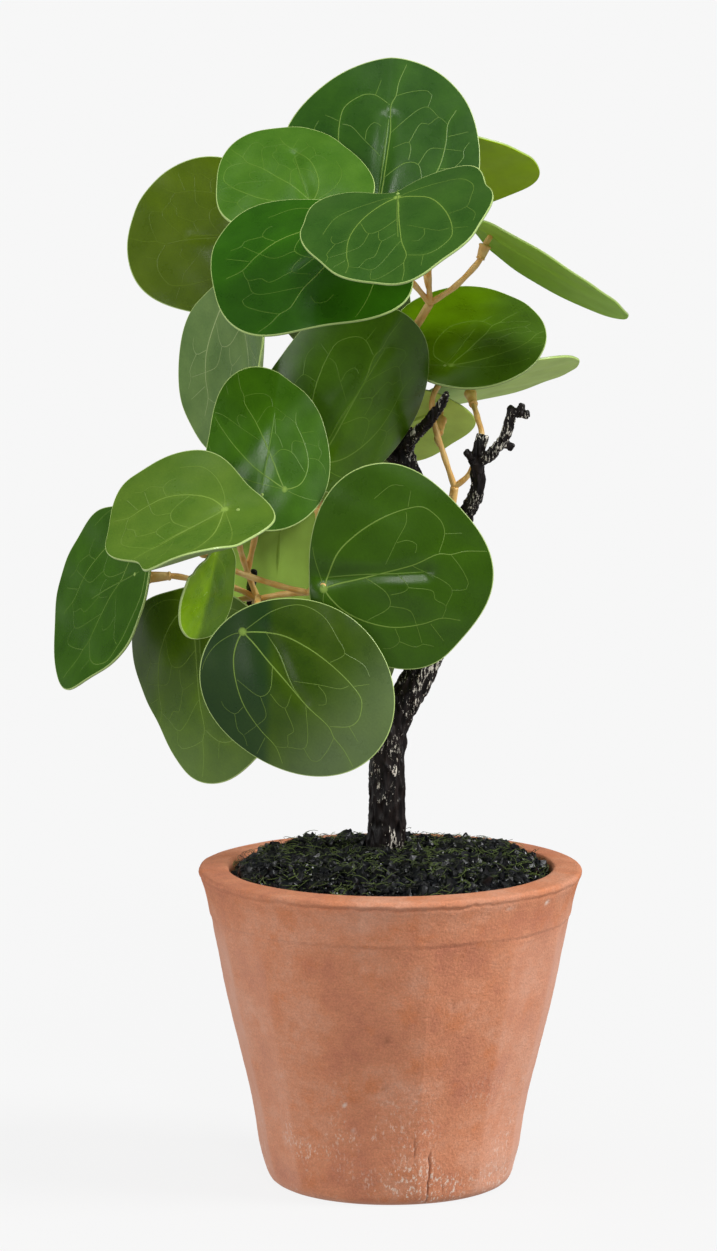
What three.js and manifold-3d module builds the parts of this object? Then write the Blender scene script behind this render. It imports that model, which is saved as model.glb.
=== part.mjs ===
// A potted artificial pilea: a terracotta pot with dark soil, a bare black-brown
// trunk, tan plastic sprays and large round rubbery leaves.
// Millimetres, +Z up. The origin is the middle of the pot's underside.
// The front of the plant looks along -Y, and +X is to the right from there.

import * as THREE from 'three';
import { mergeVertices } from 'three/addons/utils/BufferGeometryUtils.js';
import Module from 'manifold-3d';

const wasm = await Module();
wasm.setup();

// ---------------------------------------------------------------- driving dimensions

const GAP = 0.35;                      // clearance between neighbouring pieces

const POT = { floor: 8, facets: 44 };

// The pot's outer wall from the foot up: radius, height.
const POT_OUTSIDE = [
  [36.5, 0], [38.4, 0.9], [39.8, 3], [41.2, 6.5], [42.5, 14], [43.9, 24], [46.4, 34],
  [49.0, 45], [52.3, 58.5], [55.0, 72], [57.3, 84.5], [57.9, 86.8], [58.8, 88.2],
  [59.9, 95], [61, 97.5], [61, 99.4], [59.6, 101.4], [57.4, 102],
];

// Its inside, from the mouth down to the floor.
const POT_INSIDE = [
  [55, 101.3], [53.6, 99.6], [53.2, 96], [50, 82], [44, 55], [37.8, 24], [34.6, 10], [32, 8],
];

const SOIL = {
  crownHeight: 107.5, edgeHeight: 97.5, clump: 1.5, rings: 11, segments: 36,
};

const TRUNK = { rootRadius: 5.9, rootDepth: 26, sides: 8, step: 9 };

const STEM = { main: 1.35, branch: 1.0, sides: 6, step: 8, clearance: 0.6 };
const SLEEVE = { radius: 1.85, length: 9, sides: 6 };
const PETIOLE_REACH = 4;               // straight end of a stem behind its leaf

// A flat leaf: the stem meets it BASE from its near edge and TIP from its far one.
const LEAF = {
  tip: 54, base: 8, halfWidth: 32, thickness: 0.8, egg: 0.06, rings: 4, segments: 18,
};

// ---------------------------------------------------------------- finishes

const finish = (color, roughness, metalness = 0) =>
  new THREE.MeshStandardMaterial({ color, roughness, metalness });

const TERRACOTTA = finish('#b4795d', 0.9);
const SOIL_DARK = finish('#282c25', 0.85);
const BARK = finish('#332b29', 0.55);
const TAN_PLASTIC = finish('#af8a43', 0.5);
const leafGreen = (color) => finish(color, 0.4);

// ---------------------------------------------------------------- solids

const degrees = THREE.MathUtils.degToRad;

// Leaves only positions on a closed geometry and joins the vertices that coincide.
function welded(geometry) {
  geometry.deleteAttribute('normal');
  geometry.deleteAttribute('uv');
  return mergeVertices(geometry, 1e-4);
}

function solidOf(geometry) {
  const closed = welded(geometry);
  const mesh = new wasm.Mesh({
    numProp: 3,
    vertProperties: new Float32Array(closed.attributes.position.array),
    triVerts: new Uint32Array(closed.index.array),
  });
  return new wasm.Manifold(mesh);
}

function geometryOf(solid) {
  const { vertProperties, triVerts } = solid.getMesh();
  const geometry = new THREE.BufferGeometry();
  geometry.setAttribute('position', new THREE.BufferAttribute(vertProperties, 3));
  geometry.setIndex(new THREE.BufferAttribute(triVerts, 1));
  return geometry;
}

function joined(solids) {
  return solids.reduce((sum, solid) => sum.add(solid));
}

// A round bar bent along a curve, with a radius that runs from one end's to the other's.
function bar(points, startRadius, endRadius, sides, step) {
  const curve = new THREE.CatmullRomCurve3(
    points.map(([x, y, z]) => new THREE.Vector3(x, y, z)), false, 'centripetal');
  const steps = Math.max(1, Math.round(curve.getLength() / step));
  const frames = curve.computeFrenetFrames(steps, false);
  const geometry = new THREE.CylinderGeometry(1, 1, steps, sides, steps);
  const position = geometry.attributes.position;
  const place = new THREE.Vector3();
  for (let i = 0; i < position.count; i += 1) {
    const station = Math.round(position.getY(i) + steps / 2);
    const radius = THREE.MathUtils.lerp(startRadius, endRadius, station / steps);
    place.copy(curve.getPointAt(station / steps))
      .addScaledVector(frames.normals[station], position.getX(i) * radius)
      .addScaledVector(frames.binormals[station], -position.getZ(i) * radius);
    position.setXYZ(i, place.x, place.y, place.z);
  }
  return solidOf(geometry);
}

// ---------------------------------------------------------------- pot and soil

function lathed(profile, segments) {
  return new THREE.LatheGeometry(
    profile.map(([radius, height]) => new THREE.Vector2(radius, height)), segments)
    .rotateX(Math.PI / 2);
}

function potGeometry() {
  const profile = [[0, 0], ...POT_OUTSIDE, ...POT_INSIDE, [0, POT.floor]];
  return welded(lathed(profile, POT.facets));
}

// Radius of the pot's inside at a height, between the points of its profile.
function insideRadius(height) {
  for (let i = 1; i < POT_INSIDE.length; i += 1) {
    const [upperRadius, upper] = POT_INSIDE[i - 1];
    const [lowerRadius, lower] = POT_INSIDE[i];
    if (height <= upper && height >= lower) {
      return THREE.MathUtils.mapLinear(height, lower, upper, lowerRadius, upperRadius);
    }
  }
  return POT_INSIDE[0][0];
}

// Soft clumps on the soil, from three crossing waves.
function clumps(x, y) {
  return SOIL.clump * (Math.sin(0.23 * x + 0.11 * y) * Math.cos(0.19 * y - 0.07 * x)
    + 0.6 * Math.sin(0.41 * x - 0.37 * y + 1.3));
}

function soilGeometry() {
  const edge = insideRadius(SOIL.edgeHeight) - 2 * GAP;
  const rise = SOIL.crownHeight - SOIL.edgeHeight;
  const top = [];
  for (let ring = 0; ring <= SOIL.rings; ring += 1) {
    const share = ring / SOIL.rings;
    top.push([edge * share, SOIL.crownHeight - rise * share ** 2]);
  }
  const side = POT_INSIDE.filter(([, height]) => height < SOIL.edgeHeight - 1)
    .map(([radius, height]) => [radius - 2 * GAP, Math.max(height, POT.floor + GAP)]);
  const profile = [...top, ...side, [0, POT.floor + GAP]].reverse();
  const geometry = lathed(profile, SOIL.segments);
  const position = geometry.attributes.position;
  const lowest = SOIL.edgeHeight + 0.2;
  for (let i = 0; i < position.count; i += 1) {
    const [x, y, z] = [position.getX(i), position.getY(i), position.getZ(i)];
    if (z > lowest) position.setZ(i, z + clumps(x, y) * (1 - (Math.hypot(x, y) / edge) ** 4));
  }
  const hole = new THREE.CylinderGeometry(
    TRUNK.rootRadius + 2 * GAP, TRUNK.rootRadius + 2 * GAP, 2 * TRUNK.rootDepth, 20)
    .rotateX(Math.PI / 2)
    .translate(TRUNK_PATH[0][0], TRUNK_PATH[0][1], SOIL.crownHeight + GAP);
  return geometryOf(solidOf(geometry).subtract(solidOf(hole)));
}

// ---------------------------------------------------------------- trunk

const TRUNK_PATH = [
  [-1.2, 0, 82], [-1.2, 0, 109], [-1.1, -1, 124], [-0.9, -1, 142], [1.2, -0.5, 150],
  [6.7, 0, 159.5], [10, 1, 166], [13.4, 2.5, 175],
];

// Limbs of the trunk: route, thickness at its root and at its end.
const LIMBS = [
  // the main limb, up behind the middle leaves
  { route: [[11.5, 2, 170], [15.2, 4, 184.5], [15.8, 6, 195.5], [13.2, 9, 210], [8.8, 11, 221],
    [4.9, 12, 231], [2.4, 13, 245], [2.3, 12, 257], [4.2, 9, 267.5]], radii: [4.7, 2.6] },
  // the right limb and its cut top
  { route: [[14.2, 4, 186], [19, 4, 203], [24.1, 0, 215.6], [27.7, -3, 224.7], [27.4, -5, 232]],
    radii: [3.2, 2.1] },
  { route: [[27.3, -5, 229.5], [27.6, -5, 235], [29.2, -4, 241.5]], radii: [2.1, 1.9] },
  // the hidden limb to the lower left, ending in a bare twig
  { route: [[8.5, 1, 167], [-3.4, -4, 175.3], [-19.2, -10, 179.3], [-36.6, -14, 184.3],
    [-43.8, -15, 189], [-43.4, -14, 199.6]], radii: [3.2, 1.2] },
  // bare twigs and stubs
  { route: [[4, 12, 234], [7, 6, 239.5], [12.4, -2, 246.1], [18, -8, 254.8]], radii: [2.2, 1.3] },
  { route: [[7, 8, 238], [5.6, 9, 242.2]], radii: [1.6, 1.2] },
  { route: [[4, 12, 231], [-1.5, 9, 233.6]], radii: [2, 1.5] },
  { route: [[27, -5, 233], [31, -7, 235], [35.4, -9, 240.6], [37.5, -11, 246.5],
    [37.6, -12, 251.2]], radii: [1.9, 1.4] },
  { route: [[37.5, -11.8, 249.6], [43.2, -14, 248.8]], radii: [1.4, 1.2] },
  { route: [[40.2, -12.8, 249], [41.3, -13, 252.1]], radii: [1.1, 0.9] },
  { route: [[34.6, -8.8, 240], [38.4, -8, 237.7]], radii: [1.4, 1.1] },
  { route: [[27, -5, 232.5], [23.6, -9, 236.8]], radii: [1.5, 1.0] },
];

function trunkSolid(extra = 0) {
  const parts = [
    bar(TRUNK_PATH, TRUNK.rootRadius + extra, 4.7 + extra, TRUNK.sides, TRUNK.step),
    ...LIMBS.map(({ route, radii: [start, end] }) =>
      bar(route, start + extra, end + extra, TRUNK.sides, TRUNK.step)),
  ];
  return joined(parts);
}

// ---------------------------------------------------------------- leaves

// A leaf is drawn flat and face on, with its tip turned clockwise from straight up, and is
// then tipped by TILT so that its face looks toward a clock direction. Along the way its
// halves are cupped toward (+) or away from (-) the face, its midrib bowed, and its base bent.
// at: where the stem meets it. Angles are in degrees.
const LEAVES = [
  { name: 'leaf_top', at: [-3.4, 6.0, 311.8], tilt: 24, toward: 0, turn: 4, size: 0.965,
    broad: 1.03, fold: -6, cup: [-8, -8], bow: -8, color: '#32552c' },
  { name: 'leaf_upper_left', at: [-26.6, -15.0, 312.2], tilt: 50, toward: 0, turn: -12, size: 0.82,
    cup: [-8, -8], bow: -10, color: '#52842a' },
  { name: 'leaf_far_left', at: [-43.0, 47.0, 301.0], tilt: 18, toward: -56, turn: -90, size: 0.82,
    cup: [-8, -8], bow: -8, color: '#526316' },
  { name: 'leaf_left_front', at: [-6.6, -40, 310], tilt: 57, toward: -8, turn: -132, size: 1.05,
    cup: [-8, -8], bow: -12, color: '#2c501d' },
  { name: 'leaf_front', at: [1.8, -58, 320.6], tilt: 67, toward: -13, turn: 173, size: 0.97,
    cup: [5, 5], bow: -12, color: '#3a6a2c' },
  { name: 'leaf_upper_right', at: [-0.7, 51.0, 323.3], tilt: 118, toward: 0, turn: 92, size: 0.9,
    cup: [-8, -8], bow: -8, color: '#6b7e13' },
  { name: 'leaf_edge_on', at: [31.8, -5, 305], tilt: 101, toward: 32, turn: 122, size: 0.93,
    cup: [-5, -5], bow: 0, color: '#607f2e' },
  { name: 'leaf_right', at: [17.4, 14, 261.6], tilt: 55, toward: 0, turn: 27, size: 0.81,
    cup: [-8, -8], bow: -8, color: '#40580c' },
  { name: 'leaf_right_under', at: [24.8, 31.0, 255.3], tilt: 105, toward: -14, turn: 19, size: 0.85,
    cup: [0, 0], bow: 0, color: '#899b5f' },
  { name: 'leaf_behind_twig', at: [16.3, 30, 246.6], tilt: 125, toward: 0, turn: -51, size: 0.75,
    cup: [0, 0], bow: 0, color: '#76904a' },
  { name: 'leaf_middle', at: [-22.3, -19.0, 235.3], tilt: 12, toward: 90, turn: 30, size: 1,
    fold: -16, cup: [-45, -40], bow: -10, color: '#2d4402' },
  { name: 'leaf_left_hanging', at: [-47.3, 22.0, 279.6], tilt: 56, toward: -92, turn: 188, size: 1.05,
    cup: [45, 15], bow: -5, color: '#556d34' },
  { name: 'leaf_middle_front', at: [-40.0, -44.0, 226.9], tilt: 22, toward: 12, turn: 8, size: 0.8,
    broad: 0.85, base: 14, fold: -8, cup: [-25, -25], bow: -10, color: '#3e611f' },
  { name: 'leaf_left_wide', at: [-47.0, -60.0, 223.9], tilt: 50, toward: -12, turn: -104, size: 0.89,
    base: 12, cup: [50, 5], bow: -10, color: '#5f7e2e' },
  { name: 'leaf_outer_left', at: [-80.2, -25, 199.7], tilt: 62, toward: -69, turn: -103, size: 1,
    cup: [5, 5], bow: -5, color: '#365a14' },
  { name: 'leaf_small', at: [-54.7, -54, 209.8], tilt: 57, toward: 100, turn: 190, size: 0.5,
    cup: [10, 0], bow: 0, color: '#779a1d' },
  { name: 'leaf_low_left', at: [-60.6, -24, 187.7], tilt: 40, toward: -90, turn: 177, size: 1,
    cup: [-20, -20], bow: -5, color: '#3d5520' },
  { name: 'leaf_low_front', at: [-42.7, -60, 186.1], tilt: 8, toward: 0, turn: 140, size: 0.97,
    broad: 0.93, cup: [-25, -25], bow: -5, color: '#3b5614' },
  { name: 'leaf_low_right', at: [-21.2, -45, 198.6], tilt: 5, toward: 0, turn: 77, size: 0.97,
    broad: 1.05, base: 6, cup: [-8, -8], bow: -5, heel: -25, color: '#2f4d0d' },
  { name: 'leaf_low_under', at: [-34.6, 5, 222.2], tilt: 140, toward: -90, turn: 180, size: 0.85,
    cup: [0, 0], bow: 0, color: '#708b34' },
  { name: 'leaf_back_top', at: [-14, 40, 292], tilt: 150, toward: 0, turn: -10, size: 0.75,
    cup: [-8, -8], bow: -8, color: '#3a6a2c' },
  { name: 'leaf_back_middle', at: [-10, 26, 232], tilt: 155, toward: 0, turn: -15, size: 0.8,
    cup: [-8, -8], bow: -8, color: '#2f4d0d' },
  { name: 'leaf_back_low', at: [-24, 28, 182], tilt: 160, toward: 0, turn: 8, size: 0.75,
    cup: [-8, -8], bow: -8, color: '#365a14' },
];

// How far a bend of ANGLE over LENGTH carries a point at DISTANCE: along, and off its line.
function bent(distance, angle, length) {
  const curvature = degrees(angle) / length;
  if (Math.abs(curvature) < 1e-6) return [distance, 0];
  const swing = curvature * distance;
  return [Math.sin(swing) / curvature, (1 - Math.cos(swing)) / curvature];
}

function leafTurn({ tilt, toward, turn }) {
  const about = (axis, angle) => new THREE.Matrix4().makeRotationAxis(axis, degrees(angle));
  const deep = new THREE.Vector3(0, 1, 0);
  const across = new THREE.Vector3(1, 0, 0);
  return about(deep, toward).multiply(about(across, -tilt)).multiply(about(deep, turn - toward));
}

// A point of the leaf's middle surface: SHARE of the way to the edge, at ANGLE from the tip.
function leafPoint(leaf, share, angle) {
  const { size, broad = 1, base = LEAF.base, fold = 0, cup, bow, heel = 0 } = leaf;
  const middle = (LEAF.tip - base) / 2;
  const reach = (LEAF.tip + base) / 2;
  const side = share * LEAF.halfWidth * broad * Math.sin(angle) * (1 - LEAF.egg * Math.cos(angle));
  const along = middle + share * reach * Math.cos(angle);
  const [sideways, lift] = bent(Math.abs(side), side < 0 ? cup[0] : cup[1], LEAF.halfWidth);
  const crease = degrees(fold);
  const x = Math.sign(side) * (sideways * Math.cos(crease) - lift * Math.sin(crease));
  const raised = sideways * Math.sin(crease) + lift * Math.cos(crease);
  const [bend, length] = along < 0 ? [heel, base] : [bow, LEAF.tip];
  const [run, drop] = bent(along, bend, length);
  const slope = degrees(bend) / length * along;
  const z = run - raised * Math.sin(slope);
  const off = drop + raised * Math.cos(slope);
  return new THREE.Vector3(x, -off, z).multiplyScalar(size);
}

// The blade is two like sheets of triangles, one on each side of the middle surface,
// closed by a strip round the edge.
function leafGeometry(leaf) {
  const { rings, segments, thickness } = LEAF;
  const middle = [leafPoint(leaf, 0, 0)];
  for (let ring = 1; ring <= rings; ring += 1) {
    for (let i = 0; i < segments; i += 1) {
      middle.push(leafPoint(leaf, ring / rings, (2 * Math.PI * i) / segments));
    }
  }
  const at = (ring, i) => (ring === 0 ? 0 : 1 + (ring - 1) * segments + (i % segments));
  const sheet = [];
  for (let i = 0; i < segments; i += 1) {
    sheet.push([at(0, 0), at(1, i), at(1, i + 1)]);
    for (let ring = 1; ring < rings; ring += 1) {
      sheet.push([at(ring, i), at(ring + 1, i), at(ring + 1, i + 1)]);
      sheet.push([at(ring, i), at(ring + 1, i + 1), at(ring, i + 1)]);
    }
  }
  const normals = middle.map(() => new THREE.Vector3());
  for (const [a, b, c] of sheet) {
    const facing = middle[b].clone().sub(middle[a]).cross(middle[c].clone().sub(middle[a]));
    for (const corner of [a, b, c]) normals[corner].add(facing);
  }
  const count = middle.length;
  const positions = [];
  for (const half of [thickness / 2, -thickness / 2]) {
    middle.forEach((point, i) => {
      const place = point.clone().addScaledVector(normals[i].clone().normalize(), half);
      positions.push(...place.toArray());
    });
  }
  const index = [];
  for (const [a, b, c] of sheet) index.push(a, b, c, a + count, c + count, b + count);
  for (let i = 0; i < segments; i += 1) {
    const [a, b] = [at(rings, i), at(rings, i + 1)];
    index.push(a, a + count, b + count, a, b + count, b);
  }
  const geometry = new THREE.BufferGeometry();
  geometry.setAttribute('position', new THREE.Float32BufferAttribute(positions, 3));
  geometry.setIndex(index);
  return geometry;
}

// ---------------------------------------------------------------- sprays

// The straight end of a stem, square to the back of the leaf that it carries.
function petiole(name) {
  const leaf = LEAVES.find((one) => one.name === name);
  const facing = new THREE.Vector3(0, -1, 0).transformDirection(leafTurn(leaf));
  const behind = (distance) =>
    new THREE.Vector3(...leaf.at).addScaledVector(facing, -distance).toArray();
  return [behind(PETIOLE_REACH), behind(LEAF.thickness / 2 + STEM.clearance)];
}

// Each spray is one moulding, rooted in the trunk: a main stem, and branches to leaves.
const SPRAYS = [
  { name: 'spray_upper',
    stem: [[4.2, 9, 265], [5, 6, 270.5], [8.8, 0, 276.8], [12.3, -4, 283]],
    branches: [
      { leaf: 'leaf_edge_on', route: [[12.3, -4, 283], [19.7, -6, 288.1], [25.2, -6, 293.5],
        [28, -6.2, 297]] },
      { leaf: 'leaf_left_front', route: [[12.3, -4, 283], [7, -10, 289.7], [0, -24, 297],
        [-4, -33, 303]] },
      { leaf: 'leaf_front', route: [[12.3, -4, 283], [11.8, -12, 293], [12.8, -30, 303],
        [9, -45, 311]] },
      { leaf: 'leaf_top', route: [[12, -7, 288], [9, 4, 297], [2, 10, 304]] },
      { leaf: 'leaf_upper_left', route: [[9, 3, 296], [-4, 2, 303], [-18, -4, 306]] },
      { leaf: 'leaf_far_left', route: [[-2, 2, 302], [-14, 24, 304], [-30, 50, 302]] },
      { leaf: 'leaf_upper_right', route: [[9, 4, 296], [6, 18, 304], [2, 37, 311]] },
      { leaf: 'leaf_back_top', route: [[8.5, 5, 296], [0, 18, 296], [-8, 28, 289]] },
    ] },
  { name: 'spray_right',
    stem: [[14.2, 8, 204], [18.3, 8, 211.3], [19.9, 8, 220], [20.4, 8, 223.4]],
    branches: [
      { leaf: 'leaf_right', route: [[20.4, 8, 223.4], [16.6, 8, 235], [13.6, 10, 245.2],
        [13.4, 11.5, 251.5], [15.6, 14, 256]] },
      { leaf: 'leaf_right_under', route: [[20.4, 8, 223.4], [25.1, 8, 227.7], [29, 9, 239.8],
        [27.8, 13, 245]] },
      { leaf: 'leaf_behind_twig', route: [[16, 8, 236.8], [14.8, 15, 238], [15.6, 22, 239]] },
    ] },
  { name: 'spray_left',
    stem: [[-42.6, -14.6, 188], [-42.4, -19, 190], [-41.8, -22, 191.4]],
    branches: [
      { leaf: 'leaf_left_wide', route: [[-41.8, -22, 191.4], [-44.3, -26, 198.7],
        [-46.8, -36, 208.5], [-47.2, -48, 215.5]] },
      { leaf: 'leaf_middle_front', route: [[-44.8, -28, 201.5], [-42.5, -33, 212],
        [-40.8, -38, 219]] },
      { leaf: 'leaf_outer_left', route: [[-41.8, -22, 191.4], [-48.7, -23, 195], [-63, -23.5, 198.1],
        [-69, -22, 198.8]] },
      { leaf: 'leaf_low_right', route: [[-41.8, -22, 191.4], [-35, -26, 193.4], [-25.7, -32, 195]] },
      { leaf: 'leaf_small', route: [[-26.2, -31.6, 194.8], [-36, -34, 197.6], [-49.2, -37, 202.6],
        [-56, -42, 207.5]] },
      { leaf: 'leaf_low_left', route: [[-43, -22, 192], [-48, -17, 190.5], [-54, -16, 188.4]] },
      { leaf: 'leaf_low_front', route: [[-41.8, -22, 191.4], [-41.5, -34, 193.4], [-42, -48, 190.5]] },
    ] },
  { name: 'spray_middle',
    stem: [[-19.8, -10, 179], [-20.4, -8, 190], [-22, -8, 205], [-22.6, -9, 219]],
    branches: [
      { leaf: 'leaf_middle', route: [[-22.6, -9, 218], [-22.8, -10.5, 227]] },
      { leaf: 'leaf_low_under', route: [[-22.6, -9, 216], [-25, -4, 221], [-28, -2, 222.4]] },
      { leaf: 'leaf_left_hanging', route: [[-22.6, -9, 218], [-25, 3, 240], [-33, 17, 262],
        [-38, 21, 272]] },
      { leaf: 'leaf_back_middle', route: [[-22.4, -8.6, 214], [-17, 3, 220], [-11.5, 16, 228]] },
      { leaf: 'leaf_back_low', route: [[-20, -9, 184], [-12, 3, 182], [-18, 18, 186]] },
    ] },
];

function branchSolids({ leaf, route }) {
  const end = petiole(leaf);
  const path = [...route, ...end];
  const last = new THREE.Vector3(...route.at(-1));
  const toward = new THREE.Vector3(...end[0]);
  const start = last.clone().lerp(toward,
    Math.max(0, 1 - SLEEVE.length / last.distanceTo(toward)));
  return [
    bar(path, STEM.branch, STEM.branch, STEM.sides, STEM.step),
    bar([start.toArray(), end[0]], SLEEVE.radius, SLEEVE.radius, SLEEVE.sides, SLEEVE.length),
  ];
}

function sprayGeometry({ stem, branches }, trunkRoom) {
  const parts = [
    bar(stem, STEM.main, STEM.main, STEM.sides, STEM.step),
    ...branches.flatMap(branchSolids),
  ];
  return geometryOf(joined(parts).subtract(trunkRoom));
}

// ---------------------------------------------------------------- assembly

const plant = new THREE.Group();
const woody = new THREE.Group();
const foliage = new THREE.Group();
plant.add(woody, foliage);

function add(group, name, geometry, material) {
  const mesh = new THREE.Mesh(geometry, material);
  mesh.name = name;
  group.add(mesh);
  return mesh;
}

add(plant, 'pot', potGeometry(), TERRACOTTA);
add(plant, 'soil', soilGeometry(), SOIL_DARK);
add(woody, 'trunk', geometryOf(trunkSolid()), BARK);

const trunkRoom = trunkSolid(GAP);
for (const spray of SPRAYS) {
  add(woody, spray.name, sprayGeometry(spray, trunkRoom), TAN_PLASTIC);
}
for (const leaf of LEAVES) {
  const blade = add(foliage, leaf.name, leafGeometry(leaf), leafGreen(leaf.color));
  blade.position.set(...leaf.at);
  blade.quaternion.setFromRotationMatrix(leafTurn(leaf));
}

export default plant;
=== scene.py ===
"""A potted artificial pilea: moulded leaves on plastic sprays, a bare trunk, soil and a clay pot.

Lengths in the tables are millimetres and angles are degrees. Every mesh is made in metres.
"""

import logging
import math
from collections.abc import Callable
from dataclasses import dataclass
from enum import Enum

import bpy
import numpy as np
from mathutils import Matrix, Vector, noise


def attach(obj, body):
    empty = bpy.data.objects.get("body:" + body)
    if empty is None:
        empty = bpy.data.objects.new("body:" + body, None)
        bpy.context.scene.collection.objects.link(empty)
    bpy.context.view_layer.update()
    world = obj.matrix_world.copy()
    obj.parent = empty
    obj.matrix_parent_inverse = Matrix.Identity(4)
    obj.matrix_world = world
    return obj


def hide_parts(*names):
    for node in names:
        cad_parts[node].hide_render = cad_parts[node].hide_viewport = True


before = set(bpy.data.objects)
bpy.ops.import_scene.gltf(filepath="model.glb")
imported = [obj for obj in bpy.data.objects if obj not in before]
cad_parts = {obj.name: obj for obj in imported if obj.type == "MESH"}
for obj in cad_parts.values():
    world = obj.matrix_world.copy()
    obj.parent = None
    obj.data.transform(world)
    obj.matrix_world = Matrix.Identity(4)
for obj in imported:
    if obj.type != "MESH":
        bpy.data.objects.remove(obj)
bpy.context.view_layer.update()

MM = 0.001
log = logging.getLogger("pilea")

Array = np.ndarray
Socket = bpy.types.NodeSocket
Route = tuple[tuple[float, ...], ...]
Lay = tuple[tuple[float, float], tuple[float, float], tuple[float, float]]


# ------------------------------------------------------------------ shared tools


def linear(colour: str) -> tuple[float, float, float, float]:
    """Turns an sRGB colour into linear light.

    Args:
        colour: The colour as "#rrggbb".

    Returns:
        Linear red, green, blue and an alpha of one.
    """
    levels = [int(colour[i:i + 2], 16) / 255 for i in (1, 3, 5)]
    return (*(v / 12.92 if v <= 0.04045 else ((v + 0.055) / 1.055) ** 2.4 for v in levels), 1.0)


def add_node(
    tree: bpy.types.NodeTree, kind: str, settings: dict | None = None, links: dict | None = None
) -> bpy.types.Node:
    """Adds one node with its settings and links.

    Args:
        tree: The tree that gets the node.
        kind: The node's type name.
        settings: Values by property name, or by input name or number.
        links: Output sockets by the name or number of the input that they feed.

    Returns:
        The new node.
    """
    node = tree.nodes.new(kind)
    for key, value in (settings or {}).items():
        if isinstance(key, str) and hasattr(node, key):
            setattr(node, key, value)
        else:
            node.inputs[key].default_value = value
    for key, source in (links or {}).items():
        tree.links.new(source, node.inputs[key])
    return node


def spline(route: Route, step: float) -> Array:
    """Runs a smooth curve through the points of a route.

    Args:
        route: The points that the curve passes.
        step: About how far apart its samples are.

    Returns:
        The samples, one per row.
    """
    knots = np.array(route, float)
    knots = np.vstack([2 * knots[0] - knots[1], knots, 2 * knots[-1] - knots[-2]])
    samples = []
    for p0, p1, p2, p3 in zip(knots, knots[1:], knots[2:], knots[3:]):
        t0 = 0.0
        t1 = t0 + np.linalg.norm(p1 - p0) ** 0.5
        t2 = t1 + np.linalg.norm(p2 - p1) ** 0.5
        t3 = t2 + np.linalg.norm(p3 - p2) ** 0.5
        count = max(1, round(np.linalg.norm(p2 - p1) / step))
        for t in np.linspace(t1, t2, count, endpoint=False):
            a1 = (t1 - t) / (t1 - t0) * p0 + (t - t0) / (t1 - t0) * p1
            a2 = (t2 - t) / (t2 - t1) * p1 + (t - t1) / (t2 - t1) * p2
            a3 = (t3 - t) / (t3 - t2) * p2 + (t - t2) / (t3 - t2) * p3
            b1 = (t2 - t) / (t2 - t0) * a1 + (t - t0) / (t2 - t0) * a2
            b2 = (t3 - t) / (t3 - t1) * a2 + (t - t1) / (t3 - t1) * a3
            samples.append((t2 - t) / (t2 - t1) * b1 + (t - t1) / (t2 - t1) * b2)
    samples.append(knots[-2])
    return np.array(samples)


class MeshDraft:
    """Collects points, faces and point attributes, in millimetres, and makes them one mesh."""

    def __init__(self) -> None:
        """Starts an empty draft."""
        self.points: list[Array] = []
        self.faces: list[tuple[int, ...]] = []
        self.slots: list[int] = []
        self.values: dict[str, list[Array]] = {}
        self.prints: list[Array] = []
        self.count = 0

    def add(
        self, points: Array, faces: list[tuple[int, ...]], slot: int = 0,
        flat: Array | None = None, **values: Array | float,
    ) -> None:
        """Adds a patch of faces.

        Args:
            points: The patch's points.
            faces: Its faces, numbered from its own first point.
            slot: The material slot of its faces.
            flat: Where each point lies on the unbent, printed sheet.
            values: Point attributes, as one number for each point or for them all.
        """
        size = len(points)
        self.faces += [tuple(i + self.count for i in face) for face in faces]
        self.slots += [slot] * len(faces)
        self.points.append(np.asarray(points, float))
        self.prints.append(np.zeros((size, 2)) if flat is None else np.asarray(flat, float))
        for name in set(self.values) | set(values):
            known = self.values.setdefault(name, [np.zeros(self.count)] if self.count else [])
            known.append(np.broadcast_to(values.get(name, 0.0), (size,)).astype(float))
        self.count += size

    def build(self, name: str, materials: list[bpy.types.Material]) -> bpy.types.Object:
        """Makes the mesh and its object.

        Args:
            name: The piece's name.
            materials: One material for each slot.

        Returns:
            The new object, linked to the scene, at the origin.
        """
        points = np.vstack(self.points) * MM
        mesh = bpy.data.meshes.new(name)
        mesh.from_pydata(points.tolist(), [], self.faces)
        for material in materials:
            mesh.materials.append(material)
        mesh.polygons.foreach_set("material_index", self.slots)
        mesh.polygons.foreach_set("use_smooth", [True] * len(self.faces))
        for key, parts in self.values.items():
            layer = mesh.attributes.new(key, "FLOAT", "POINT")
            layer.data.foreach_set("value", np.concatenate(parts))
        flat = np.vstack(self.prints) * MM
        corners = np.empty(len(mesh.loops), dtype=np.int32)
        mesh.loops.foreach_get("vertex_index", corners)
        sheet = mesh.uv_layers.new(name="print")
        sheet.data.foreach_set("uv", flat[corners].ravel())
        mesh.update()
        piece = bpy.data.objects.new(name, mesh)
        bpy.context.scene.collection.objects.link(piece)
        return piece


def grid_faces(rows: int, columns: int, closed: bool) -> list[tuple[int, ...]]:
    """Numbers the four-cornered faces between rows of points.

    Args:
        rows: How many rows there are.
        columns: How many points each has.
        closed: Whether each row's last point joins its first.

    Returns:
        The faces, which look outward where rows rise and columns run anticlockwise from above.
    """
    faces = []
    for row in range(rows - 1):
        for column in range(columns if closed else columns - 1):
            after = (column + 1) % columns
            low, high = row * columns, (row + 1) * columns
            faces.append((low + column, low + after, high + after, high + column))
    return faces


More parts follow.
